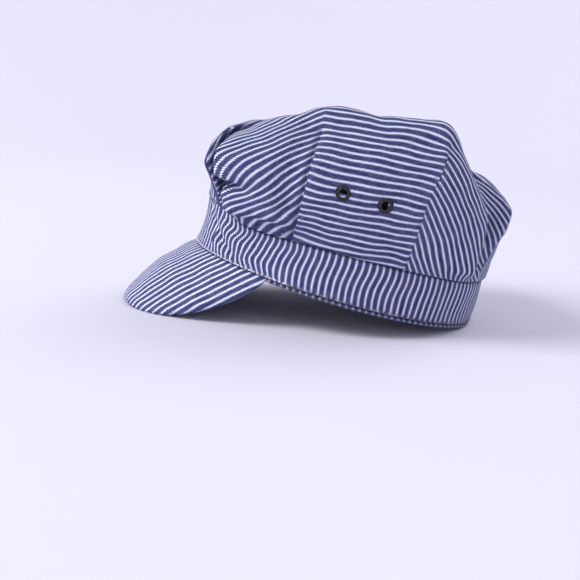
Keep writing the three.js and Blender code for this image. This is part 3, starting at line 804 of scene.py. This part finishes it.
def buildBand(b):
    # a closed section all round: face, rounded top, flat inside, rounded foot. Round edges are quarter
    # circles, out - r (1 - cos t), up +- r sin t
    print("band")
    angles = np.mod(columnAngle, 360)
    thick = bandShape["thickness"]
    foot = bandShape["hem"] + bandShape["gap"]
    top = (seamHeight - bandShape["gap"])[:, None]
    footRound, topRound = b["footRound"], b["topRound"]
    low, high = foot + footRound, top - topRound
    # rows crowd towards both edges of the face
    share = np.linspace(0, 1, b["faceSteps"] + 1)
    share = 0.5 - 0.5 * np.cos(share * math.pi) * (0.8 + 0.2 * np.cos(share * math.pi) ** 2)
    height = low + share[None, :] * (high - low)
    fullShare = (height - foot) / (top - foot)
    arc = ringArc(columnAngle)
    out = bandOut(angles, share) + softRidges(angles[:, None], fullShare, b["folds"], bandShape["meanRadius"],
                                              bandShape["height"])
    places = np.stack([arc[:, None] + 0 * height, height], -1)
    out = out + clothSlack(places, b["slack"], b["slackLengths"], b["seed"]) * np.sin(fullShare * math.pi)
    turn = np.linspace(0, math.pi / 2, b["rimSteps"] + 1)
    one = np.ones((len(out), 1))
    outs = np.concatenate([out, out[:, -1:] - topRound * (1 - np.cos(turn[1:])),
                           one * (topRound * .6 - thick), one * np.full(b["insideSteps"], -thick),
                           one * (footRound * .6 - thick),
                           out[:, :1] - footRound * (1 - np.cos(turn[::-1][:-1]))], 1)
    ups = np.concatenate([height, high + topRound * np.sin(turn[1:]), top,
                          high + (low - high) * np.linspace(0, 1, b["insideSteps"])[None, :], one * foot,
                          one * (low - footRound * np.sin(turn[::-1][:-1]))], 1)
    grid = oval(angles[:, None], outs, ups)
    run = runUp(grid)
    run = np.concatenate([run, run[:, -1:] + 1], 1)
    shares = np.clip((np.concatenate([ups, ups[:, :1]], 1) - foot) / (top - foot), 0, 1)
    run, shares = (np.concatenate([values, values[:1]]) for values in (run, shares))
    arcs = np.append(arc, ringArc(columnAngle[:1] + 360))[:, None]
    uv = np.stack([run, arcs + sideWave(b, shares, arcs)], -1) / 1000
    inside = np.zeros(grid.shape[:2])
    inside[:, height.shape[1] + b["rimSteps"] + 1:-b["rimSteps"]] = 1
    fromFoot, fromTop = ups - foot, top - ups
    # seam: painted shade along the foot and the top, where the band meets the hem and the crown
    seam = 0.4 * hump(fromFoot, 0, 1) + 0.6 * hump(fromTop, 0, 0.9)
    wear = hump(fromFoot, 2.6, 1.3) * .7 + hump(fromTop, 2.2, 1.2) * .5
    return skinPiece("band_cloth", grid, uv, uv, True, False,
                     [("inside", inside), ("seam", np.clip(seam, 0, 1)), ("wear", np.clip(wear, 0, 1))])


band = buildBand(bandDetail)

hemDetail = {"cornerAngle": 64.0, "columns": 300, "steps": 10, "bulge": 0.35, "clothShift": 2.1}


def buildHem(h):
    # the band's ring again, from one visor corner round the back to the other: out = bulge cos(t)^0.7
    print("hem")
    start = h["cornerAngle"] + bandShape["gap"] / (halfWidth * deg)
    angles = np.linspace(start, 360 - start, h["columns"] + 1)
    thick, tall = bandShape["thickness"], bandShape["hem"]
    turn = np.linspace(-math.pi / 2, math.pi / 2, h["steps"] + 1)
    outs = np.concatenate([-1.0 + (1.0 + h["bulge"]) * np.cos(turn) ** 0.7, [-thick + .5],
                           np.full(3, -thick), [-thick + .5]])
    ups = np.concatenate([tall / 2 + tall / 2 * np.sin(turn), [tall], [tall - .4, tall / 2, .4], [0]])
    grid = oval(angles[:, None], outs[None, :], ups[None, :])
    run = np.concatenate([[0], np.cumsum(np.hypot(np.diff(outs), np.diff(ups)))])
    run = np.append(run, run[-1] + 1)[None, :]
    across = ringArc(angles)[:, None] + h["clothShift"]
    uv = np.stack(np.broadcast_arrays(run, across), -1) / 1000
    # seam: painted shade, darker under the band's foot and a quarter dark over the whole hem
    masks = [("inside", outs < -thick + .1), ("seam", np.clip(hump(ups, tall, .8) + 0.25, 0, 1)),
             ("wear", hump(ups, .9, .8) * (outs > -1))]
    masks = [(label, np.broadcast_to(values.astype(float), grid.shape[:2])) for label, values in masks]
    return skinPiece("hem_cloth", grid, uv, uv, False, False, masks)


hem = buildHem(hemDetail)


# the visor's two cloths
visorShape = {
    "cornerAngle": 64.0, "reach": 100.5, "drop": 50.0, "crest": 4.0, "edgeDrop": 2.0,
    "squareness": 2.5, "earlyFall": 0.82, "cloth": 1.2, "gap": 0.3,
    "columns": 176, "rows": 60, "rimSteps": 6,
}


def visorPlace(side, share):
    # straight lines from the root arc to the edge curve, lifted in the middle; the edge reaches
    # forward as a squared ellipse and falls as a sine of that reach
    v = visorShape
    root = oval(side * v["cornerAngle"], 0.0, bandShape["hem"])
    corner = oval(np.array(v["cornerAngle"]), 0.0, bandShape["hem"] - v["edgeDrop"])
    sideways = np.sin(side * 90 * deg)
    reach = np.clip(1 - np.abs(sideways) ** v["squareness"], 0, 1) ** (1 / v["squareness"])
    edge = np.stack([corner[0] + v["reach"] * reach, corner[1] * sideways,
                     corner[2] - v["drop"] * np.sin(reach ** v["earlyFall"] * 90 * deg)], -1)
    lift = v["crest"] * np.sin(share * math.pi) * (1 - side * side)
    s = share[..., None]
    return root * (1 - s) + edge * s + lift[..., None] * np.array([1, 0, 1]) / math.sqrt(2)


def visorGrid():
    # columns crowd towards the corners, and the outward way turns from the band's to the face's own
    v = visorShape
    t = np.linspace(1, -1, v["columns"] + 1)
    side = 0.5 * t + 0.5 * np.sign(t) * (1 - (1 - np.abs(t)) ** 1.25)
    share = np.linspace(0, 1, v["rows"] + 1)
    sides, shares = np.meshgrid(side, share, indexing="ij")
    grid = visorPlace(sides, shares)
    normal = gridNormals(grid, False)
    angle = side * v["cornerAngle"]
    outward = unit(oval(angle, 1.0, 0.0) - oval(angle, 0.0, 0.0))
    blend = smoothStep(0, 0.18, share)[None, :, None]
    away = unit(outward[:, None, :] * (1 - blend) + normal * blend)
    return side, share, grid, away


visorSide, visorShare, visorMain, visorAway = visorGrid()
visorStart = visorMain[::4, ::4, :2]
print("visor: flat pattern")
visorFlat, _ = flatten(visorMain[::4, ::4], False, [], 0, visorStart, flatPlan["visorRounds"])
visorFlat, _ = alignFlat(visorFlat, visorFlat, 0, visorStart)
visorFine = visorFlat
for count in (len(visorShare), len(visorSide)):   # back to the fine grid, up the rows and then across
    visorFine = smoothCurve(np.arange(0, count, 4), visorFine.swapaxes(0, 1), np.arange(count))

visorDetail = {"slack": 0.3, "slackLengths": (19, 24, 31, 40), "seed": 3, "roll": 1.6, "rollWidth": 7.0}


def buildVisorLayer(name, depth, innerLow, d):
    # centre = visor's face - away (depth + half the cloth) + slack - roll (1 - to edge / width)^2; top and
    # low faces stand half the cloth off it, joined at the edge by a half circle. innerLow marks the low
    # face as the inside of the cloth
    v = visorShape
    wave = clothSlack(visorFine, d["slack"], d["slackLengths"], d["seed"])
    fade = smoothStep(0, 0.1, visorShare) * (1 - smoothStep(0.9, 1, visorShare))
    toEdge = np.linalg.norm(visorMain - visorMain[:, -1:], axis=-1)
    fromRoot = np.linalg.norm(visorMain - visorMain[:, :1], axis=-1)
    roll = -d["roll"] * np.clip(1 - toEdge / d["rollWidth"], 0, 1) ** 2
    half = v["cloth"] / 2
    centre = visorMain + visorAway * (wave * fade + roll - depth - half)[..., None]
    reach = unit(centre[:, -1] - centre[:, -3])[:, None]
    centre[:, -1:] -= reach * half
    turn = np.linspace(0, math.pi, v["rimSteps"] + 1)[1:-1]
    rim = centre[:, -1:] + half * (visorAway[:, -1:] * np.cos(turn)[None, :, None]
                                   + reach * np.sin(turn)[None, :, None])
    low = centre - visorAway * half
    grid = np.concatenate([centre + visorAway * half, rim, low[:, ::-1]], 1)
    step = unit(visorFine[:, -1:] - visorFine[:, -3:-2])
    uvRim = visorFine[:, -1:] + step * (turn * half)[None, :, None]
    uv = np.concatenate([visorFine, uvRim, visorFine[:, ::-1], visorFine[:, :1]], 1) / 1000

    def allRound(values, lowValues):
        return np.concatenate([values, np.repeat(values[:, -1:], len(turn), 1), lowValues[:, ::-1]], 1)

    # seam: painted shade along the root under the band and half as much along the edge
    seam = np.clip(hump(fromRoot, 0, 1.2) + 0.5 * hump(toEdge, 0, .8), 0, 1)
    wear = hump(toEdge, 1.2, 1.2)
    face = np.zeros_like(toEdge)
    return skinPiece(name, grid, uv, uv, False, False,
                     [("inside", allRound(face, face + innerLow)), ("seam", allRound(seam, seam)),
                      ("wear", allRound(wear, wear))])


print("visor: cloth")
visorTop = buildVisorLayer("visor_cloth_top", 0.0, 1, visorDetail)
visorUnder = buildVisorLayer("visor_cloth_under", visorShape["cloth"] + visorShape["gap"], 0, visorDetail)


# rolled eyelets in the side panels
eyeletShape = {"radius": 5.0, "bore": 2.6, "neck": 3.4, "front": 0.85, "back": 0.6, "sides": 72}


def buildEyelet(name, centre, axis, e):
    # a profile turned about the axis: rolled flange outside, a groove, then the collar into the bore,
    # the same on the back of the cloth, and the neck between the two flanges
    radius, bore, front, back = e["radius"], e["bore"], e["front"], e["back"]
    roll = np.array([(radius, -.02), (radius - .06, .26), (radius - .26, .50), (radius - .58, .68),
                     (radius - .95, .70), (radius - 1.2, .58), (bore + .95, .44), (bore + .80, .44),
                     (bore + .64, .60), (bore + .44, .76), (bore + .22, .74), (bore + .06, .56), (bore, .2)])
    profile = np.concatenate([roll + (0, front), roll[::-1] * (1, -1) - (0, back),
                              [(e["neck"], -back), (e["neck"], front)]])
    turn = np.arange(e["sides"]) / e["sides"] * 2 * math.pi
    side = unit(np.cross(axis, (0, 0, 1.0)))
    ring = np.cos(turn)[:, None] * side + np.sin(turn)[:, None] * np.cross(axis, side)
    grid = centre + ring[:, None] * profile[None, :, :1] + axis * profile[None, :, 1:]
    uv = np.zeros((grid.shape[0] + 1, grid.shape[1] + 1, 2))
    return skinPiece(name, grid, uv, uv, True, False)


print("eyelets")
eyelets = [(buildEyelet(name.replace("eyelet", "ring"), centre, axis, eyeletShape), name)
           for name, (centre, axis) in zip(eyeletNodes, eyeletPlaces())]


# thread along the foot
stitchShape = {
    "spacing": 3.3, "length": 1.9, "radius": 0.60, "sides": 8, "steps": 7,
    "sink": 0.12, "inwards": 0.12, "aboveFoot": 0.95,   # ends under the cloth, place on the band's foot
    "lightTo": 72.0,   # angle up to which the thread is the visor's light one
    "lightTone": (0.55, 1.0), "darkTone": (0.0, 0.3), "seed": 2,
}


def buildStitches(s):
    # short bent tubes along the foot of the band, all round: each stands on the cloth in its middle
    # and dips into it at both ends
    print("stitches")
    total = ringArc(np.array([360.0]))[0]
    count = int(total // s["spacing"])
    fine = np.linspace(0, 360, 7201)
    arcs = ringArc(fine)
    t = np.linspace(-0.5, 0.5, s["steps"])
    centre = (np.arange(count) + 0.5) * total / count
    at = np.interp(centre[:, None] + t[None, :] * s["length"], arcs, fine)
    bump = s["radius"] * 0.9 * (1 - (2 * np.abs(t)) ** 3) - s["sink"]
    height = bandShape["hem"] + bandShape["gap"] + s["aboveFoot"]
    out = bandOut(at[:, 0], np.array([0.0])) - s["inwards"] + bump[None, :]
    line = oval(at, out, height)
    tangent = unit(np.gradient(line, axis=1))
    up = np.array([0, 0, 1.0])
    side = unit(np.cross(tangent, up))
    radius = s["radius"] * np.sqrt(np.clip(1 - (2 * np.abs(t)) ** 4, 0.12, 1))
    turn = np.arange(s["sides"]) / s["sides"] * 2 * math.pi
    ring = np.cos(turn)[:, None] * side[:, :, None, :] + np.sin(turn)[:, None] * up
    points = line[:, :, None, :] + ring * radius[None, :, None, None]
    n, k, m = count, s["steps"], s["sides"]
    index = np.arange(n * k * m).reshape(n, k, m)
    a, b = index[:, :-1], index[:, 1:]
    quads = np.stack([a, np.roll(a, -1, 2), np.roll(b, -1, 2), b], -1).reshape(-1, 4)
    ends = [index[:, 0, ::-1], index[:, -1]]
    zero = [np.zeros((len(quads), 4, 2)), np.zeros((n, m, 2)), np.zeros((n, m, 2))]
    chance = np.random.default_rng(s["seed"]).uniform(0, 1, n)
    byVisor = fromFront(at[:, s["steps"] // 2]) < s["lightTo"]
    light, dark = (np.interp(chance, (0, 1), s[label]) for label in ("lightTone", "darkTone"))
    tone = np.where(byVisor, light, dark)
    return putMesh("foot_stitches", points.reshape(-1, 3), [quads, *ends], zero,
                   [("tone", np.repeat(tone, k * m))])


stitches = buildStitches(stitchShape)


# finishes
print("materials")


class Graph:
    # helper round a node tree: it adds nodes, and feeds a socket from a link or with a bare value
    def __init__(self, tree):
        self.tree = tree

    def node(self, kind, **values):
        n = self.tree.nodes.new(kind)
        for key, value in values.items():
            setattr(n, key, value)
        return n

    def feed(self, node, **values):   # sockets by name, with _ for a space
        for label, value in values.items():
            self.join(node.inputs[label.replace("_", " ")], value)

    def join(self, socket, value):
        if isinstance(value, bpy.types.NodeSocket):
            self.tree.links.new(value, socket)
        else:
            socket.default_value = value

    def math(self, operation, a, b=0.0, clamp=False):
        n = self.node("ShaderNodeMath", operation=operation, use_clamp=clamp)
        self.join(n.inputs[0], a)
        self.join(n.inputs[1], b)
        return n.outputs[0]

    def times(self, a, b):
        return self.math("MULTIPLY", a, b)

    def plus(self, a, b, clamp=False):
        return self.math("ADD", a, b, clamp)

    def mixColour(self, share, a, b):
        n = self.node("ShaderNodeMix", data_type="RGBA")
        for socket, value in zip((n.inputs[0], n.inputs[6], n.inputs[7]), (share, a, b)):
            self.join(socket, value)
        return n.outputs[2]

    def noise(self, place, scale, detail=3.0, rough=0.5):
        n = self.node("ShaderNodeTexNoise")
        self.feed(n, Vector=place, Scale=scale, Detail=detail, Roughness=rough)
        return n.outputs["Fac"]

    def around(self, noise, middle, amount):   # amount (noise - middle)
        return self.times(self.math("SUBTRACT", noise, middle), amount)

    def between(self, value, low, high):   # smooth step from 0 at low to 1 at high
        n = self.node("ShaderNodeMapRange", interpolation_type="SMOOTHSTEP")
        self.feed(n, Value=value, From_Min=low, From_Max=high)
        return n.outputs["Result"]


def newGroup(name, inputs, outputs):
    tree = bpy.data.node_groups.new(name, "ShaderNodeTree")
    for label, kind, value in inputs:
        socket = tree.interface.new_socket(label, in_out="INPUT", socket_type="NodeSocket" + kind)
        if value is not None:
            socket.default_value = value
    for label, kind in outputs:
        tree.interface.new_socket(label, in_out="OUTPUT", socket_type="NodeSocket" + kind)
    return Graph(tree), tree.nodes.new("NodeGroupInput").outputs, tree.nodes.new("NodeGroupOutput")


weave = {
    "wobble": 0.7,                        # mm by which a stripe wanders
    "walesAlong": 4.1, "walesAcross": 2.9,   # radians in a mm, so the diagonal ribs stand 1.25 mm apart
    "teeth": 0.34, "fray": 1.0, "softEdge": 0.15,   # mm at a stripe's edge
    "pale": 0.13, "greyed": 0.38, "backPale": 0.14,   # shares of the other yarn that show
    "waleLight": 0.26, "fleck": 1.7, "heather": 1.3,   # how much ribs and yarns lighten the blue
    "fleckNoise": (1300, 2, 0.7), "heatherNoise": (420, 3, 0.6),   # scale per metre, detail, roughness
    "backShadow": (0.008, 0.010, 0.035, 1),
}


def makeStripedTwill(w):
    # stripes run along X of the cloth map and repeat across Y; twill wales lean across both.
    # stripe = step(half white - |across mod pitch - pitch / 2| + teeth sin(wales) + fray noise)
    g, source, sink = newGroup(
        "stripedTwill",
        [("Cloth", "Vector", None), ("Pitch mm", "Float", 4.8), ("White share", "Float", 0.30),
         ("Shift mm", "Float", 0.0), ("Indigo", "Color", (0.05, 0.06, 0.2, 1)),
         ("White", "Color", (0.7, 0.72, 0.85, 1)), ("Inside", "Float", 0.0), ("Inside shade", "Float", 0.4)],
        [("Colour", "Color"), ("Height", "Float")])
    cloth, pitch, indigo, white = (source[label] for label in ("Cloth", "Pitch mm", "Indigo", "White"))
    split = g.node("ShaderNodeSeparateXYZ")
    g.feed(split, Vector=cloth)
    along, across = g.times(split.outputs[0], 1000), g.times(split.outputs[1], 1000)
    wobble = g.around(g.noise(cloth, 60, 2), 0.5, w["wobble"])
    shifted = g.plus(g.plus(across, source["Shift mm"]), wobble)
    phase = g.math("FRACT", g.math("DIVIDE", shifted, pitch))
    fromMiddle = g.times(g.math("ABSOLUTE", g.math("SUBTRACT", phase, 0.5)), pitch)
    halfWhite = g.times(g.times(source["White share"], pitch), 0.5)
    wales = g.math("SINE", g.plus(g.times(along, w["walesAlong"]), g.times(shifted, w["walesAcross"])))
    ragged = g.plus(g.times(wales, w["teeth"]), g.around(g.noise(cloth, 950, 1), 0.5, w["fray"]))
    inStripe = g.plus(g.math("SUBTRACT", halfWhite, fromMiddle), ragged)
    stripe = g.between(inStripe, -w["softEdge"], w["softEdge"])
    yarn = g.node("ShaderNodeMapping")   # noise drawn out along the yarns
    g.feed(yarn, Vector=cloth, Scale=(0.25, 1.0, 1.0))
    fleck = g.noise(yarn.outputs[0], *w["fleckNoise"])
    heather = g.noise(yarn.outputs[0], *w["heatherNoise"])
    flecks = g.plus(g.around(fleck, 0.45, w["fleck"]), g.around(heather, 0.5, w["heather"]))
    lift = g.plus(g.times(g.plus(wales, 1.0), w["waleLight"]), flecks, clamp=True)
    ground = g.mixColour(lift, indigo, g.mixColour(w["pale"], indigo, white))
    greyed = g.mixColour(w["greyed"], white, indigo)
    whites = g.mixColour(g.times(g.plus(g.times(wales, -0.5), 0.5), 0.8), white, greyed)
    whites = g.mixColour(g.between(fleck, 0.5, 0.72), whites, greyed)
    face = g.mixColour(stripe, ground, whites)
    # the inside face: paler reverse of the twill, then painted shade towards backShadow
    back = g.mixColour(source["Inside shade"], g.mixColour(w["backPale"], face, white), w["backShadow"])
    height = g.plus(g.plus(g.times(wales, 0.5), g.times(fleck, 1.2)), g.times(stripe, 0.4))
    g.feed(sink, Colour=g.mixColour(source["Inside"], face, back), Height=height)
    return g.tree


def makeClothAgeAndShade():
    # fading where the cloth is rubbed, painted shade in its seams and folds, and slow change of tone
    g, source, sink = newGroup(
        "clothAgeAndShade",
        [("Colour", "Color", (0.5, 0.5, 0.5, 1)), ("Place", "Vector", None), ("Wear", "Float", 0.0),
         ("Seam", "Float", 0.0), ("Faded", "Color", (0.3, 0.33, 0.5, 1)),
         ("Painted shade", "Color", (0.009, 0.012, 0.045, 1))],
        [("Colour", "Color"), ("Roughness", "Float")])
    patch = g.noise(source["Place"], 28, 3, 0.55)
    rub = g.noise(source["Place"], 260, 4, 0.65)
    worn = g.times(g.times(source["Wear"], g.between(rub, 0.42, 0.66)), 0.45)
    share = g.plus(worn, g.times(g.between(patch, 0.4, 0.7), 0.06), clamp=True)
    colour = g.mixColour(share, source["Colour"], source["Faded"])
    # painted shade: the colour is mixed towards a dark blue by the seam mask
    shadeShare = g.math("MINIMUM", g.times(source["Seam"], 0.48), 0.95)
    g.feed(sink, Colour=g.mixColour(shadeShare, colour, source["Painted shade"]), Roughness=g.plus(0.82, g.times(rub, 0.14)))
    return g.tree


twillGroup, ageAndShadeGroup = makeStripedTwill(weave), makeClothAgeAndShade()


def newMaterial(name):
    material = bpy.data.materials.new(name)
    material.use_nodes = True
    return material, Graph(material.node_tree), material.node_tree.nodes["Principled BSDF"]


clothFinish = {
    "indigo": (0.0145, 0.023, 0.112),
    "white": (0.80, 0.815, 0.95),
    "faded": (0.12, 0.15, 0.34, 1),
    "pitch": 4.55, "whiteShare": 0.29,
    "bump": 0.35, "bumpDepth": 0.00012, "sheen": 0.04,
}


def clothMaterial(name, shift=0.0, paintedLightScale=1.0, insidePaintedShade=0.4):
    f = clothFinish
    material, g, shader = newMaterial(name)
    # the seam attribute carries painted shade along seams and in folds
    inside, seam, wear = (g.node("ShaderNodeAttribute", attribute_name=label).outputs["Fac"]
                          for label in ("inside", "seam", "wear"))
    twill = g.node("ShaderNodeGroup", node_tree=twillGroup)
    g.feed(twill, Cloth=g.node("ShaderNodeUVMap", uv_map="cloth").outputs[0], Pitch_mm=f["pitch"],
           # paintedLightScale brightens or darkens the stripes' colours as painted light or painted shade
           White_share=f["whiteShare"], Shift_mm=shift, Indigo=[c * paintedLightScale for c in f["indigo"]] + [1],
           White=[c * paintedLightScale for c in f["white"]] + [1], Inside=inside, Inside_shade=insidePaintedShade)
    ageAndShade = g.node("ShaderNodeGroup", node_tree=ageAndShadeGroup)
    g.feed(ageAndShade, Colour=twill.outputs["Colour"], Place=g.node("ShaderNodeTexCoord").outputs["Object"],
           Wear=wear, Seam=seam, Faded=f["faded"])
    bump = g.node("ShaderNodeBump")
    g.feed(bump, Strength=f["bump"], Distance=f["bumpDepth"], Height=twill.outputs["Height"])
    g.feed(shader, Base_Color=ageAndShade.outputs["Colour"], Roughness=ageAndShade.outputs["Roughness"],
           Normal=bump.outputs[0], Sheen_Weight=f["sheen"], Sheen_Roughness=0.45,
           Sheen_Tint=(0.8, 0.84, 1, 1), Specular_IOR_Level=0.12)
    return material


def enamelMaterial():
    material, g, shader = newMaterial("black_enamel")
    scuff = g.between(g.noise(g.node("ShaderNodeTexCoord").outputs["Object"], 900, 4, 0.7), 0.55, 0.75)
    g.feed(shader, Base_Color=g.mixColour(scuff, (0.006, 0.006, 0.009, 1), (0.03, 0.03, 0.038, 1)),
           Roughness=g.plus(0.24, g.times(scuff, 0.2)), Specular_IOR_Level=0.35, Coat_Weight=0.2,
           Coat_Roughness=0.15)
    return material


def threadMaterial():
    material, g, shader = newMaterial("thread")
    tone = g.node("ShaderNodeAttribute", attribute_name="tone").outputs["Fac"]
    g.feed(shader, Base_Color=g.mixColour(tone, (0.07, 0.07, 0.13, 1), (0.80, 0.79, 0.88, 1)), Roughness=0.7)
    return material


crown.data.materials.append(clothMaterial("twill_crown", insidePaintedShade=0.7))
band.data.materials.append(clothMaterial("twill_band", insidePaintedShade=0.6))
# the hem is a painted-shade copy of the cloth, 0.8 as bright
hem.data.materials.append(clothMaterial("twill_hem", paintedLightScale=0.8))
# the visor's top is a painted-light copy of the cloth, 1.18 as bright on its upward face
visorTop.data.materials.append(clothMaterial("twill_visor", paintedLightScale=1.18))
visorUnder.data.materials.append(clothMaterial("twill_visor_under", shift=1.3))
stitches.data.materials.append(threadMaterial())
enamel = enamelMaterial()

for obj, node in [(crown, "crown"), (band, "band"), (hem, "band_hem"), (visorTop, "visor_top"),
                  (visorUnder, "visor_under")]:
    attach(obj, "root")
    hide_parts(node)
for obj, node in eyelets:
    obj.data.materials.append(enamel)
    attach(obj, "root")
    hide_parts(node)
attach(stitches, "root")


# floor and lights
stageShape = {"flat": 1.3, "edge": 3.4, "rise": 1.6, "rings": 60, "sectors": 96,   # metres and counts
              "colour": (0.695, 0.685, 0.785, 1)}


def buildStage(s):
    # a round floor whose rim curves up all round: height = rise times (share of the rim) squared
    print("stage")
    radius = np.concatenate([[0.02], np.linspace(0.2, s["edge"], s["rings"])])
    share = np.clip((radius - s["flat"]) / (s["edge"] - s["flat"]), 0, 1)
    turn = np.linspace(0, 2 * math.pi, s["sectors"] + 1)[:-1]
    x, y = np.cos(turn)[:, None] * radius, np.sin(turn)[:, None] * radius
    points = np.stack([x, y, s["rise"] * share**2 + 0 * x], -1)
    index = np.arange(x.size).reshape(x.shape)
    beside = np.roll(index, -1, 0)
    quads = np.stack([index[:, :-1], index[:, 1:], beside[:, 1:], beside[:, :-1]], -1).reshape(-1, 4)
    mesh = bpy.data.meshes.new("floor")
    mesh.from_pydata(points.reshape(-1, 3).tolist(), [], quads.tolist() + [index[:, 0].tolist()])
    mesh.validate()
    mesh.shade_smooth()
    floor = bpy.data.objects.new("floor", mesh)
    bpy.context.scene.collection.objects.link(floor)
    material, g, shader = newMaterial("floor_paper")
    g.feed(shader, Base_Color=s["colour"], Roughness=0.9)
    mesh.materials.append(material)


buildStage(stageShape)

lightPlan = {
    "world": ((0.90, 0.89, 1.0, 1), 0.50),   # colour, strength
    "aim": (0, 0, 0.07),
    # name, place, size, power, colour
    "areas": [("key", (2.9, 1.0, 2.8), 1.8, 128, (1, 0.99, 1)),
              ("fill", (-0.7, 2.3, 1.3), 2.0, 5, (0.96, 0.96, 1)),
              ("back", (-2.2, -1.8, 2.9), 2.8, 60, (0.95, 0.96, 1))],
}


def buildLights(plan):
    # a plain sky and three square lamps, each turned so that its -Z looks at the cap's middle
    print("lights")
    world = bpy.data.worlds.new("studio")
    world.use_nodes = True
    sky = world.node_tree.nodes["Background"]
    sky.inputs[0].default_value, sky.inputs[1].default_value = plan["world"]
    bpy.context.scene.world = world
    bpy.context.scene.view_settings.view_transform = "Standard"
    for name, place, size, power, colour in plan["areas"]:
        data = bpy.data.lights.new(name, "AREA")
        data.size, data.energy, data.color = size, power, colour
        light = bpy.data.objects.new(name, data)
        light.location = place
        light.rotation_euler = (Vector(plan["aim"]) - Vector(place)).to_track_quat("-Z", "Y").to_euler()
        bpy.context.scene.collection.objects.link(light)


buildLights(lightPlan)
